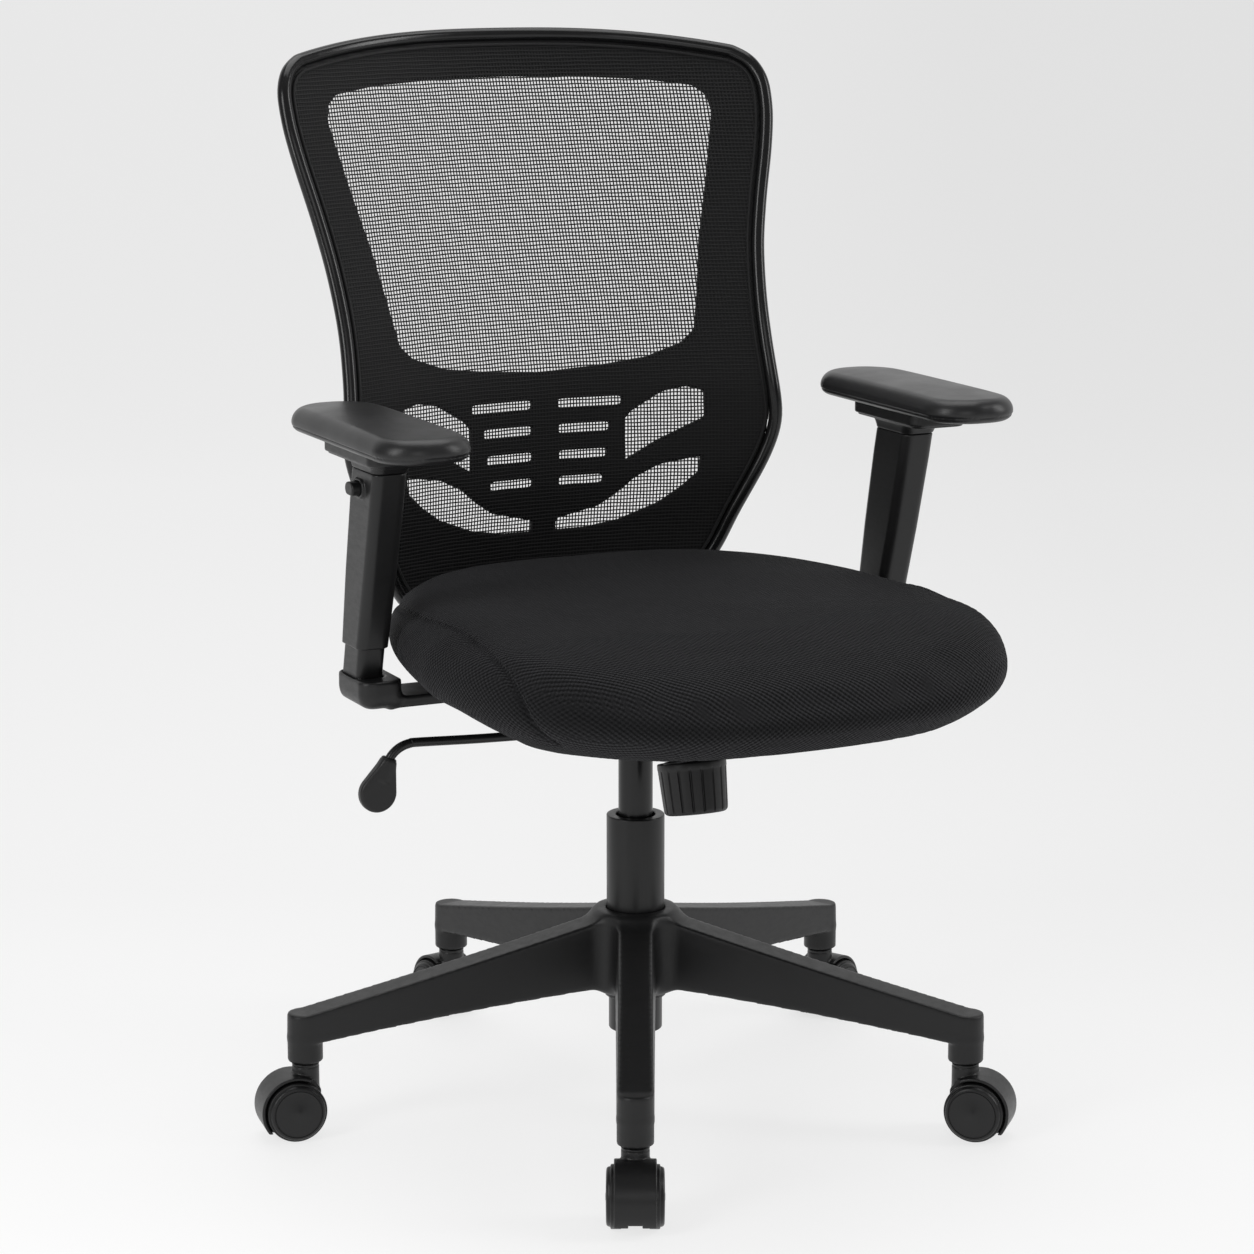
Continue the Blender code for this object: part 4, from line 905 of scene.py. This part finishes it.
def swollen(mesh, cap, pressure=4.0, frames=20):
    """Cloth pressure lets the cover swell; each point keeps only its way outward, evened out and no further than cap."""
    obj = scratch(mesh)
    obj.modifiers.new("Cloth", "CLOTH")
    cloth = obj.modifiers["Cloth"]
    s = cloth.settings
    s.quality = 5
    s.mass = 0.3
    s.use_pressure, s.uniform_pressure_force = True, pressure
    s.tension_stiffness = s.compression_stiffness = 18
    s.shear_stiffness, s.bending_stiffness = 8, 0.6
    s.effector_weights.gravity = 0.0
    before = np.zeros(len(mesh.vertices) * 3, np.float32)
    mesh.vertices.foreach_get("co", before)
    scene = bpy.context.scene
    scene.frame_start, scene.frame_end = 1, frames
    cloth.point_cache.frame_start, cloth.point_cache.frame_end = 1, frames
    for k in range(1, frames + 1):
        scene.frame_set(k)
    made = baked(obj)
    scene.frame_set(1)
    after = np.zeros(len(made.vertices) * 3, np.float32)
    made.vertices.foreach_get("co", after)
    before, after = before.reshape(-1, 3), after.reshape(-1, 3)
    way = normals(mesh)
    out = np.maximum(((after - before) * way).sum(1), 0.0)
    ends = np.zeros(len(mesh.edges) * 2, np.int32)
    mesh.edges.foreach_get("vertices", ends)
    ends = ends.reshape(-1, 2)
    degree = np.bincount(ends.ravel(), minlength=len(out))
    for _ in range(10):
        total = np.bincount(ends[:, 0], out[ends[:, 1]], len(out)) + np.bincount(ends[:, 1], out[ends[:, 0]], len(out))
        out = 0.5 * out + 0.5 * total / np.maximum(degree, 1)
    step = way * (cap * np.tanh(out / cap))[:, None]
    made.vertices.foreach_set("co", (before + step).ravel())
    made.update()
    drop(obj)
    return made


def subdivided(mesh, levels=1):
    obj = scratch(mesh)
    mod = obj.modifiers.new("Subdivision", "SUBSURF")
    mod.levels = mod.render_levels = levels
    made = baked(obj)
    drop(obj)
    return made


def coords(mesh):
    out = np.zeros(len(mesh.vertices) * 3, np.float32)
    mesh.vertices.foreach_get("co", out)
    return out.reshape(-1, 3).astype(float)


def normals(mesh):
    out = np.zeros(len(mesh.vertices) * 3, np.float32)
    mesh.vertices.foreach_get("normal", out)
    return out.reshape(-1, 3).astype(float)


def set_coords(mesh, co):
    mesh.vertices.foreach_set("co", co.astype(np.float32).ravel())
    mesh.update()


def distance_to_line(co, line, reach=0.02):
    """Each point's distance to a polyline, and how far along it the nearest point is."""
    pts = np.array([tuple(p) for p in line], float)
    best, where = np.full(len(co), 9.0), np.zeros(len(co))
    run = 0.0
    for a, b in zip(pts, pts[1:]):
        d = b - a
        n = float(d @ d)
        if n < 1e-14:
            continue
        near = np.abs(co - (a + b) / 2).max(1) < reach + math.sqrt(n)
        t = np.clip(((co[near] - a) @ d) / n, 0, 1)
        dist = np.linalg.norm(co[near] - (a + t[:, None] * d), axis=1)
        old = best[near]
        closer = dist < old
        ids = np.nonzero(near)[0][closer]
        best[ids] = dist[closer]
        where[ids] = run + t[closer] * math.sqrt(n)
        run += math.sqrt(n)
    return best, where


def on_surface(tree, points, off=0.0):
    """The points, pulled onto a surface."""
    out = []
    for p in points:
        at, normal, _, _ = tree.find_nearest(Vector(p))
        out.append(at + normal * off)
    return out


def tree_of(mesh):
    from mathutils.bvhtree import BVHTree

    bm = bmesh.new()
    bm.from_mesh(mesh)
    tree = BVHTree.FromBMesh(bm)
    bm.free()
    return tree


SHRINK = 0.0020
form = cushion_form(SHRINK)
cushion = swollen(remeshed(form, 0.0046), 0.0032)
cushion = subdivided(cushion, 1)
co = coords(cushion)
reach = np.where(co[:, 1] < SEAT_WIDE_AT, SEAT_WIDE_AT - SEAT_FRONT, SEAT_REAR - SEAT_WIDE_AT)
width = SEAT_HALF_FRONT + (SEAT_HALF_REAR - SEAT_HALF_FRONT) * np.clip((co[:, 1] - SEAT_WIDE_AT) / reach, 0, 1)
on_pan = (np.abs(co[:, 0]) / width) ** 2.8 + (np.abs(co[:, 1] - SEAT_WIDE_AT) / reach) ** 2.8 < 0.825**2.8
hang = np.array([apron(v) for v in co[:, 1]])
co[:, 2] = np.maximum(co[:, 2], SEAT_BOTTOM + np.where(on_pan, 0.0, hang))  # it lies flat on the pan
set_coords(cushion, co)

# side-panel seams: along each side near the top edge, then down round the front corner
SEAM = (
    (0.1500, 0.1560, 0.478),
    (0.1950, 0.1150, 0.481),
    (0.2160, 0.0500, 0.484),
    (0.2230, -0.0200, 0.486),
    (0.2240, -0.0900, 0.488),
    (0.2270, -0.1500, 0.488),
    (0.2310, -0.2050, 0.485),
    (0.2340, -0.2430, 0.478),
    (0.2350, -0.2650, 0.465),
    (0.2320, -0.2760, 0.448),
    (0.2220, -0.2800, 0.434),
    (0.2080, -0.2810, 0.4255),
)
surface = tree_of(cushion)
seams = []
for side in (-1, 1):
    line = smooth_line([(side * x, y, z) for x, y, z in SEAM], 14)
    seams.append(on_surface(surface, line))
co, nrm = coords(cushion), normals(cushion)
for line in seams:
    away, along = distance_to_line(co, line)
    groove = 0.0022 * np.exp(-((away / 0.0026) ** 2)) + 0.0012 * np.exp(-((away / 0.0085) ** 2))
    pucker = 0.00035 * np.sin(along / 0.0115 * TAU) * np.exp(-((away / 0.0080) ** 2)) * (away > 0.002)
    co -= nrm * (groove - pucker)[:, None]
set_coords(cushion, co)
seat_piece = put("seat_upholstery", cushion, "seat", ("seat_cushion",), KNIT)
surface = tree_of(cushion)
for label, line in (("right", seams[0]), ("left", seams[1])):
    placed = [SHIFT @ Vector(p) for p in line]
    stitches = []
    run, k = 0.0, 0
    for a, b in zip(placed, placed[1:]):
        steps = max(1, int((b - a).length / 0.0006))
        for s in range(steps):
            p = a.lerp(b, s / steps)
            stitches.append(p)
    made = []
    piece = []
    length = 0.0
    for a, b in zip(stitches, stitches[1:]):
        length += (b - a).length
        phase = (length % 0.0042) / 0.0042
        if phase < 0.72:
            piece.append((a, phase / 0.72))
        elif len(piece) > 3:
            made.append(piece)
            piece = []
        else:
            piece = []
    threads = []
    for piece in made[:: 1]:
        pts = []
        for p, t in piece[:: max(1, len(piece) // 4)]:
            at, normal, _, _ = surface.find_nearest(p)
            away = normal.cross(piece[-1][0] - piece[0][0]).normalized() * 0.0030
            at, normal, _, _ = surface.find_nearest(p + away * (-1 if label == "left" else 1))
            pts.append(at + normal * (0.0002 - 0.0007 * (2 * t - 1) ** 2))
        if len(pts) > 1:
            threads.append(tube(pts, 0.00035, 5))
    if threads:
        put(f"seam_stitches_{label}", merged(*threads), "seat", (), THREAD, place=None)

# ------------------------------------------------------------------ back
CENTRE_LINE = ((0.432, 0.216), (0.500, 0.2045), (0.570, 0.197), (0.640, 0.1985), (0.693, 0.209), (0.800, 0.2455), (0.904, 0.284), (0.990, 0.317))
HALF_WIDTH = (
    (0.432, 0.110),
    (0.440, 0.140),
    (0.460, 0.163),
    (0.4854, 0.1785),
    (0.520, 0.192),
    (0.551, 0.206),
    (0.583, 0.2205),
    (0.617, 0.2290),
    (0.660, 0.2245),
    (0.712, 0.2225),
    (0.766, 0.2262),
    (0.820, 0.2360),
    (0.875, 0.2490),
    (0.910, 0.2545),
    (0.930, 0.2550),
    (0.947, 0.2505),
    (0.959, 0.2420),
    (0.968, 0.2270),
)
BACK_TOP, BACK_BOW, RIM_R = 0.9860, 1.10, 0.0068


def table_values(table, z):
    """The same cubic as the CAD's, for an array of heights."""
    tz, tv = np.array([a for a, _ in table]), np.array([b for _, b in table])
    z = np.clip(np.asarray(z, float), tz[0], tz[-1])
    d = np.diff(tv) / np.diff(tz)
    slope = np.zeros(len(tz))
    slope[0], slope[-1] = d[0], d[-1]
    both = d[:-1] * d[1:] > 0
    slope[1:-1] = np.where(both, 2 * d[:-1] * d[1:] / np.where(both, d[:-1] + d[1:], 1), 0)
    k = np.clip(np.searchsorted(tz, z, side="right") - 1, 0, len(tz) - 2)
    h = tz[k + 1] - tz[k]
    t = (z - tz[k]) / h
    return (
        (2 * t**3 - 3 * t**2 + 1) * tv[k]
        + (t**3 - 2 * t**2 + t) * slope[k] * h
        + (-2 * t**3 + 3 * t**2) * tv[k + 1]
        + (t**3 - t**2) * slope[k + 1] * h
    )


def back_y(x, z, out=0.0):
    return table_values(CENTRE_LINE, z) - BACK_BOW * np.asarray(x) ** 2 + out


def back_outline(steps=120, inset=0.0):
    low, high = HALF_WIDTH[0][0], HALF_WIDTH[-1][0]
    z = low + (high - low) * (1 - np.cos(np.pi * np.arange(steps + 1) / steps)) / 2
    side = list(zip(table_values(HALF_WIDTH, z), z))
    wide = HALF_WIDTH[-1][1]
    top = []
    for k in range(1, 40):
        x = wide * (1 - k / 40)
        top.append((x, BACK_TOP - (BACK_TOP - high) * (x / wide) ** 2.6))
    half = side + top
    line = np.array(half + [(0.0, BACK_TOP)] + [(-x, q) for x, q in reversed(half)])
    for _ in range(6):  # take the corners off the joins
        line[1:-1] = line[1:-1] * 0.5 + (line[:-2] + line[2:]) * 0.25
    if inset:
        ahead, behind = np.roll(line, -1, 0), np.roll(line, 1, 0)
        d = ahead - behind
        d /= np.linalg.norm(d, axis=1)[:, None]
        line = line + inset * np.stack([-d[:, 1], d[:, 0]], 1)
    return line


def signed(x, z, outline):
    """Distance from an outline in (x, z), negative inside."""
    shape = np.broadcast(x, z).shape
    px, pz = np.broadcast_to(x, shape).ravel().astype(float), np.broadcast_to(z, shape).ravel().astype(float)
    best = np.full(px.shape, 9.0)
    inside = np.zeros(px.shape, bool)
    pts = np.asarray(outline, float)
    for (x0, z0), (x1, z1) in zip(pts, np.roll(pts, -1, 0)):
        dx, dz = x1 - x0, z1 - z0
        n = dx * dx + dz * dz
        if n < 1e-14:
            continue
        t = np.clip(((px - x0) * dx + (pz - z0) * dz) / n, 0, 1)
        best = np.minimum(best, (px - x0 - t * dx) ** 2 + (pz - z0 - t * dz) ** 2)
        crosses = (z0 > pz) != (z1 > pz)
        inside ^= crosses & (px < x0 + (pz - z0) / (dz if abs(dz) > 1e-12 else 1e-12) * dx)
    out = np.sqrt(best)
    return np.where(inside, -out, out).reshape(shape)


WINDOW = ((0.0, 0.6645), (0.060, 0.6685), (0.105, 0.6745), (0.140, 0.6870), (0.1535, 0.6990), (0.1600, 0.7300), (0.1705, 0.7850), (0.1850, 0.8400), (0.1955, 0.8850), (0.2000, 0.9050), (0.1970, 0.9200), (0.1860, 0.9290), (0.1400, 0.9350), (0.070, 0.9385), (0.0, 0.9395))
UPPER_WING = ((0.082, 0.577), (0.112, 0.5945), (0.157, 0.6160), (0.1565, 0.6400), (0.140, 0.6445), (0.118, 0.6400), (0.0885, 0.6225), (0.082, 0.6150))
LOWER_WING = ((0.014, 0.5115), (0.045, 0.5120), (0.078, 0.5180), (0.115, 0.5330), (0.136, 0.5480), (0.151, 0.5620), (0.153, 0.5760), (0.115, 0.5690), (0.092, 0.5575), (0.075, 0.5430), (0.056, 0.5305), (0.014, 0.5205))
SLOTS = ((0.634, 0.0765), (0.6095, 0.0640), (0.5840, 0.0610), (0.5590, 0.0570))


def panel_plan(x, z):
    """Distance in the panel's own face, negative in its material; symmetric about x = 0."""
    ax = np.abs(x)
    plan = signed(ax, z, back_outline(60, RIM_R + 0.0040))  # its edge is let into the rim
    window = signed(ax, z, list(WINDOW) + [(-a, b) for a, b in reversed(WINDOW[1:-1])])
    holes = window + 0.0 * plan
    for wing in (UPPER_WING, LOWER_WING):
        holes = np.minimum(holes, signed(ax, z, wing) - 0.0010)
    for at, reach in SLOTS:
        holes = np.minimum(holes, rrect(ax - (reach + 0.0160) / 2, z - at, (reach + 0.0025 - 0.0135) / 2, 0.0042, 0.0038))
    return np.maximum(plan, -holes), holes, plan


PANEL_STEP = 0.0021
gx = np.arange(-0.262, 0.2621, PANEL_STEP)
gz = np.arange(0.425, 0.9951, PANEL_STEP)
plan_grid, hole_grid, _ = panel_plan(gx[:, None], gz[None, :])


def sample(grid, x, z):
    """Bilinear values of a grid over (gx, gz)."""
    u = np.clip((np.asarray(x) - gx[0]) / PANEL_STEP, 0, len(gx) - 1.001)
    v = np.clip((np.asarray(z) - gz[0]) / PANEL_STEP, 0, len(gz) - 1.001)
    i, j = u.astype(int), v.astype(int)
    u, v = u - i, v - j
    return grid[i, j] * (1 - u) * (1 - v) + grid[i + 1, j] * u * (1 - v) + grid[i, j + 1] * (1 - u) * v + grid[i + 1, j + 1] * u * v


def panel_shape(x, w, z):
    """w runs backwards from the panel's front face."""
    plan = sample(plan_grid, x, z)
    thick = 0.0054
    lip = np.where(sample(hole_grid, x, z) < 0.0065, 0.0012, 0.0)  # a raised lip round each opening, behind
    plate = rmax(plan, np.maximum(-w, w - thick - lip), 0.0011)
    return plate


verts, faces = nets(panel_shape, (gx[0], -0.0016, gz[0]), (gx[-1] - 0.001, 0.0084, gz[-1] - 0.001), (PANEL_STEP, 0.0016, PANEL_STEP))
verts[:, 1] = back_y(verts[:, 0], verts[:, 2], verts[:, 1])
put("back_panel", mesh_of(verts, faces), "seat", ("back_frame",), PANEL)

rim_line = back_outline(120, RIM_R)
rim_points = [Vector((x, float(back_y(x, z, 0.0015)), z)) for x, z in rim_line]


def rim_shape(k, a):
    return RIM_R * (1.0 + 0.035 * math.cos(2 * a))


put("back_rim_moulding", tube(rim_points, RIM_R - 0.0002, 20, True), "seat", ("back_rim",), RIM)
groove_line = back_outline(120, 2 * RIM_R + 0.0028)
welt = [Vector((x, float(back_y(x, z, -0.0012)), z)) for x, z in groove_line]
put("cloth_edge_welt", tube(welt, 0.0016, 8, True), "seat", (), CLOTH)

# the open mesh cloth: raised yarns across, flat yarns down, with real holes between
cloth_line = back_outline(120, 2 * RIM_R + 0.0024)
PITCH_X, PITCH_Z = 0.00320, 0.00355
YARN_X, YARN_Z = 0.00136, 0.00130  # widths of the yarns that run down, and across


def spans(fixed, points, axis):
    """Where a line at this x (axis 0) or z (axis 1) lies inside the outline."""
    hits = []
    for a, b in zip(points, np.roll(points, -1, 0)):
        if (a[axis] > fixed) != (b[axis] > fixed):
            t = (fixed - a[axis]) / (b[axis] - a[axis])
            hits.append(a[1 - axis] + t * (b[1 - axis] - a[1 - axis]))
    hits.sort()
    return list(zip(hits[::2], hits[1::2]))


def strands():
    verts, faces = [], []
    step = 0.0064
    z = 0.4345
    row = 0
    while z < BACK_TOP:
        for x0, x1 in spans(z, cloth_line, 1):
            n = max(2, int((x1 - x0) / step))
            xs = np.linspace(x0, x1, n + 1)
            wave = 0.00022 * np.sin(xs * 173.0 + z * 311.0) + 0.00016 * np.sin(xs * 61.0 - z * 97.0)
            start = len(verts)
            for x, dz in zip(xs, wave):
                for off, depth in ((-YARN_Z / 2, -0.00070), (0.0, -0.00125), (YARN_Z / 2, -0.00070)):
                    zz = z + dz + off
                    verts.append((x, float(back_y(x, zz, depth)), zz))
            for k in range(n):
                for m in (0, 1):
                    a = start + 3 * k + m
                    faces.append((a, a + 3, a + 4, a + 1))
        z += PITCH_Z
        row += 1
    x = -0.2560
    while x < 0.2560:
        for z0, z1 in spans(x, cloth_line, 0):
            n = max(2, int((z1 - z0) / 0.0071))
            zs = np.linspace(z0, z1, n + 1)
            wave = 0.00016 * np.sin(zs * 149.0 + x * 283.0)
            start = len(verts)
            for zz, dx in zip(zs, wave):
                for off in (-YARN_X / 2, YARN_X / 2):
                    verts.append((x + dx + off, float(back_y(x + dx + off, zz, -0.00062)), zz))
            for k in range(n):
                a = start + 2 * k
                faces.append((a, a + 1, a + 3, a + 2))
        x += PITCH_X
    return np.array(verts), np.array(faces)


verts, faces = strands()
cloth_mesh = mesh_of(verts, faces)
cloth = put("back_mesh_cloth", cloth_mesh, "seat", ("back_mesh",), CLOTH)

# the bar behind keeps its CAD shape; its bolts get a hexagon socket
for label, x in (("right", -0.018), ("left", 0.018)):
    low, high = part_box(f"back_bar_bolt_{label}")
    hexagon = [(0.0, 0.0030), (0.0030, 0.0030), (0.0033, 0.0054), (0.0060, 0.0054), (0.0069, 0.0046), (0.0070, 0.0000), (0.0040, 0.0000), (0.0040, -0.0165), (0.0, -0.0165)]
    to_bolt = Matrix.Translation((x, high.y - OY - 0.0055, (low.z + high.z) / 2)) @ Matrix.Rotation(math.radians(-90), 4, "X")
    put(f"bar_bolt_{label}", moved(turned(hexagon, 48), to_bolt), "seat", (f"back_bar_bolt_{label}",), DARK_STEEL, 40)

# ------------------------------------------------------------------ arms
ARM_X, ARM_Y, ARM_Z, ARM_LEAN = 0.263, -0.0320, 0.6240, 0.250
PAD_X, PAD_Y = 0.267, -0.0420
FINE = 1.0


def lean(z):
    return ARM_Y - ARM_LEAN * (z - ARM_Z)


def bracket_shape(side):
    def shape(x, y, z):
        u, v = x - side * ARM_X, y - lean(z)
        # a bowl with the post standing in its mouth
        p, q = x - side * (ARM_X - 0.0040), y - lean(0.423) + 0.0100
        shrink_low = 0.0048 * np.clip((0.4210 - z) / 0.0140, 0, 1) ** 2
        plan = rrect(p, q, 0.0203, 0.0355, 0.0140) + shrink_low
        foot = rmax(rmax(plan, 0.4071 - z, 0.0060), z - 0.4329, 0.0022)
        mouth = np.maximum(rrect(u, v, 0.0142, 0.0228, 0.0085), 0.4290 - z)
        foot = rmax(foot, -mouth, 0.0008)
        post = rmax(rrect(u, v, 0.0126, 0.0212, 0.0068), np.maximum(0.412 - z, z - 0.5860), 0.0015)
        body = rmin(foot, post, 0.0006)
        flat = rmax(rrect(y - 0.004, z - 0.41175, 0.0260, 0.0051, 0.0020), np.abs(x - side * 0.1625) - 0.0888, 0.0020)
        rib = rmax(rrect(y - 0.004, z - 0.4190, 0.0030, 0.0080, 0.0015), np.abs(x - side * 0.2150) - 0.0330, 0.0015)
        body = rmin(body, flat, 0.0060)
        # detent holes of the height setting, down the post's outer face
        for k in range(4):
            at = 0.500 + 0.019 * k
            hole = np.maximum(np.hypot(v - 0.0, z - at) - 0.0034, 0.0100 - side * u)
            body = rmax(body, -hole, 0.0006)
        # a fixing screw's recess under the bar
        for at in (0.115, 0.145):
            body = rmax(body, -np.maximum(np.hypot(x - side * at, y - 0.004) - 0.0052, z - 0.4095), 0.0006)
        return body

    return shape


def sleeve_shape(side):
    def shape(x, y, z):
        u, v = x - side * ARM_X, y - lean(z)
        hx = np.interp(z.ravel(), (0.460, 0.530, 0.600, 0.624), (0.0150, 0.0156, 0.0160, 0.0160)).reshape(z.shape)
        hy = np.interp(z.ravel(), (0.460, 0.530, 0.600, 0.624), (0.0243, 0.0283, 0.0303, 0.0303)).reshape(z.shape)
        outer = rmax(rrect(u, v, hx, hy, 0.0088), np.maximum(0.4602 - z, z - 0.6240), 0.0010)
        b = side * u
        across, up = y - lean(0.608) - 0.0020, z - 0.608
        boss = rmax(rrect(across, up, 0.0130, 0.0086, 0.0084), np.maximum(0.005 - b, b - 0.0190), 0.0014)
        body = rmin(outer, boss, 0.0016)
        cavity = np.maximum(rrect(u, v, 0.0132, 0.0218, 0.0072), z - 0.6120)
        body = np.maximum(body, -cavity)
        hole = np.maximum(rrect(across, up, 0.0095, 0.0062, 0.0060), 0.0100 - b)
        return rmax(body, -hole, 0.0005)

    return shape


def top_shape(side):
    def shape(x, y, z):
        u, v = x - side * ARM_X, y - lean(z)
        flare = np.clip((z - 0.6243) / 0.0120, 0, 1.2) ** 1.5
        stem = rmax(rrect(u, v, 0.0166 + 0.0036 * flare, 0.0309 + 0.0058 * flare, 0.0100), np.maximum(0.6244 - z, z - 0.640), 0.0008)
        plate = rmax(rrect(x - side * (PAD_X - 0.001), y - PAD_Y - 0.006, 0.0298, 0.0618, 0.0140), np.maximum(0.6362 - z, z - 0.6472), 0.0014)
        body = rmin(stem, plate, 0.0030)
        step = rmax(rrect(x - side * (PAD_X - 0.001), y - PAD_Y - 0.006, 0.0270, 0.0588, 0.0120), np.maximum(0.6340 - z, z - 0.640), 0.0010)
        return rmin(body, step, 0.0012)

    return shape


def pad_shape(side):
    def shape(x, y, z):
        u, v = x - side * PAD_X, y - PAD_Y
        plan = rrect(u, v, 0.0439, 0.1309, 0.0400)
        crown = 0.6708 - 0.0022 * (u / 0.044) ** 2 - 0.0020 * (v / 0.131) ** 4
        body = rmax(plan, z - crown, 0.0120)
        body = rmax(body, 0.6477 - z, 0.0085)
        line = np.maximum(np.abs(z - 0.6530) - 0.0004, -(plan + 0.0016))
        return np.maximum(body, -line)

    return shape


def button_shape(side):
    def shape(x, y, z):
        b = side * x - ARM_X
        plan = rrect(y - lean(0.608) - 0.0020, z - 0.608, 0.0091, 0.0058, 0.0056)
        return rmax(plan, np.maximum(b - 0.0269, 0.0166 - b), 0.0016)

    return shape


for side, label in ((-1, "right"), (1, "left")):
    x0 = side * ARM_X

    def spread(half_low, half_high):
        return (min(side * half_low, side * half_high), max(side * half_low, side * half_high))

    xs = spread(0.0700, 0.2830)
    full_low, full_high = (xs[0], -0.0480, 0.4045), (xs[1], 0.0540, 0.5885)
    verts, faces = nets(bracket_shape(side), full_low, full_high, 0.0013 * FINE)
    put(f"arm_bracket_moulding_{label}", mesh_of(verts, faces), "seat", (f"arm_bracket_{label}",), NYLON_ARM)
    verts, faces = nets(sleeve_shape(side), (x0 - 0.0215, -0.0660, 0.4580), (x0 + 0.0215, 0.0380, 0.6262), 0.0010 * FINE)
    put(f"arm_sleeve_moulding_{label}", mesh_of(verts, faces), f"arm_{label}", (f"arm_sleeve_{label}",), NYLON_ARM)
    verts, faces = nets(top_shape(side), (x0 - 0.0350, -0.1010, 0.6225), (x0 + 0.0400, 0.0290, 0.6490), 0.0010 * FINE)
    put(f"arm_collar_{label}", mesh_of(verts, faces), f"arm_{label}", (f"arm_top_plate_{label}",), NYLON_ARM)
    px = side * PAD_X
    verts, faces = nets(pad_shape(side), (px - 0.0462, PAD_Y - 0.1335, 0.6455), (px + 0.0462, PAD_Y + 0.1335, 0.6730), 0.0013 * FINE)
    pad = put(f"arm_pad_skin_{label}", mesh_of(verts, faces), f"arm_{label}", (f"arm_pad_{label}",), SKIN)
    xs = spread(0.2630 + 0.0155, 0.2630 + 0.0278)
    verts, faces = nets(button_shape(side), (xs[0], lean(0.608) - 0.0090, 0.6005), (xs[1], lean(0.608) + 0.0130, 0.6155), 0.0006 * FINE)
    put(f"height_button_{label}", mesh_of(verts, faces), f"button_{label}", (f"arm_button_{label}",), NYLON_ARM)

# ------------------------------------------------------------------ stage, light and camera
scene = bpy.context.scene
scene.view_settings.view_transform = "Standard"
scene.view_settings.look = "None"
scene.view_settings.exposure = 0.0
scene.view_settings.gamma = 1.0

floor_mesh = bpy.data.meshes.new("floor")
bm = bmesh.new()
SIZE, WALL, BACK = 14.0, 9.0, 5.5
profile = [(-SIZE, 0.0), (BACK - 2.0, 0.0)]
profile += [(BACK - 2.0 + 2.0 * math.sin(math.radians(q)), 2.0 - 2.0 * math.cos(math.radians(q))) for q in range(6, 91, 6)]
profile += [(BACK, WALL)]
rows = []
for y, z in profile:
    rows.append([bm.verts.new((x, y, z)) for x in (-SIZE, SIZE)])
for a, b in zip(rows, rows[1:]):
    bm.faces.new((a[0], a[1], b[1], b[0]))
bm.to_mesh(floor_mesh)
bm.free()
floor_mesh.transform(Matrix.Rotation(math.radians(-25.7), 4, "Z"))
floor_mesh.shade_smooth()
floor = bpy.data.objects.new("floor", floor_mesh)
scene.collection.objects.link(floor)
pale = Finish("pale_floor", (0.22, 0.22, 0.22), 0.60, 0.0, 0.05)
pale.to("Base Color", pale.mix(pale.noise(0.6, 2), (0.215, 0.215, 0.215), (0.225, 0.225, 0.225)))
pale.set("Emission Color", (1.0, 1.0, 1.0, 1))
where = pale.tree.nodes.new("ShaderNodeSeparateXYZ")
pale.link(pale.place, where.inputs[0])
TURN = math.radians(25.7)
behind = pale.math("ADD", pale.math("MULTIPLY", where.outputs[0], math.sin(TURN)), pale.math("MULTIPLY", where.outputs[1], math.cos(TURN)))
beside = pale.math("SUBTRACT", pale.math("MULTIPLY", where.outputs[0], math.cos(TURN)), pale.math("MULTIPLY", where.outputs[1], math.sin(TURN)))
glow = pale.math("SUBTRACT", pale.span(behind, -0.50, 0.70, 0.78, 0.68), pale.span(beside, -0.30, 0.80, 0.0, 0.05))
pale.to("Emission Strength", glow)  # painted light: the sweep glows, brightest in front, a little darker behind and to the right
floor_mesh.materials.append(pale.mat)
floor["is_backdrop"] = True

world = bpy.data.worlds.new("studio")
world.use_nodes = True
world.node_tree.nodes["Background"].inputs["Color"].default_value = (1.0, 1.0, 1.0, 1)
world.node_tree.nodes["Background"].inputs["Strength"].default_value = 0.24
scene.world = world


def area_light(name, at, aim, size, power):
    data = bpy.data.lights.new(name, "AREA")
    data.shape, data.size, data.size_y, data.energy = "RECTANGLE", size[0], size[1], power
    lamp = bpy.data.objects.new(name, data)
    scene.collection.objects.link(lamp)
    lamp.location = at
    lamp.rotation_euler = (Vector(aim) - Vector(at)).to_track_quat("-Z", "Y").to_euler()
    return lamp


area_light("key_left", (-3.0, -0.9, 1.9), (0, 0, 0.55), (1.0, 2.4), 40)
area_light("fill_right", (2.6, -1.4, 1.9), (0, 0, 0.6), (0.9, 2.2), 34)
area_light("front", (-1.2, -4.0, 1.7), (0, 0, 0.6), (2.2, 1.6), 16)
area_light("top", (0.3, 0.5, 3.4), (0, 0, 0.3), (2.6, 2.2), 46)
area_light("backdrop_left", (0.6, 3.2, 3.2), (1.0, 5.6, 1.4), (3.2, 0.8), 4)
area_light("backdrop_right", (3.6, 1.8, 3.2), (4.2, 4.4, 1.4), (3.2, 0.8), 2)

camera = bpy.data.cameras.new("camera")
camera.lens, camera.sensor_width = 101.80, 36.0
camera.clip_start, camera.clip_end = 0.1, 60.0
eye = bpy.data.objects.new("camera", camera)
scene.collection.objects.link(eye)
eye.location = (-1.38894 + OX, -2.86767 + OY, 1.12558)
eye.rotation_euler = (math.radians(78.098), 0.0, math.radians(-25.700))
scene.camera = eye

low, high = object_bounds()
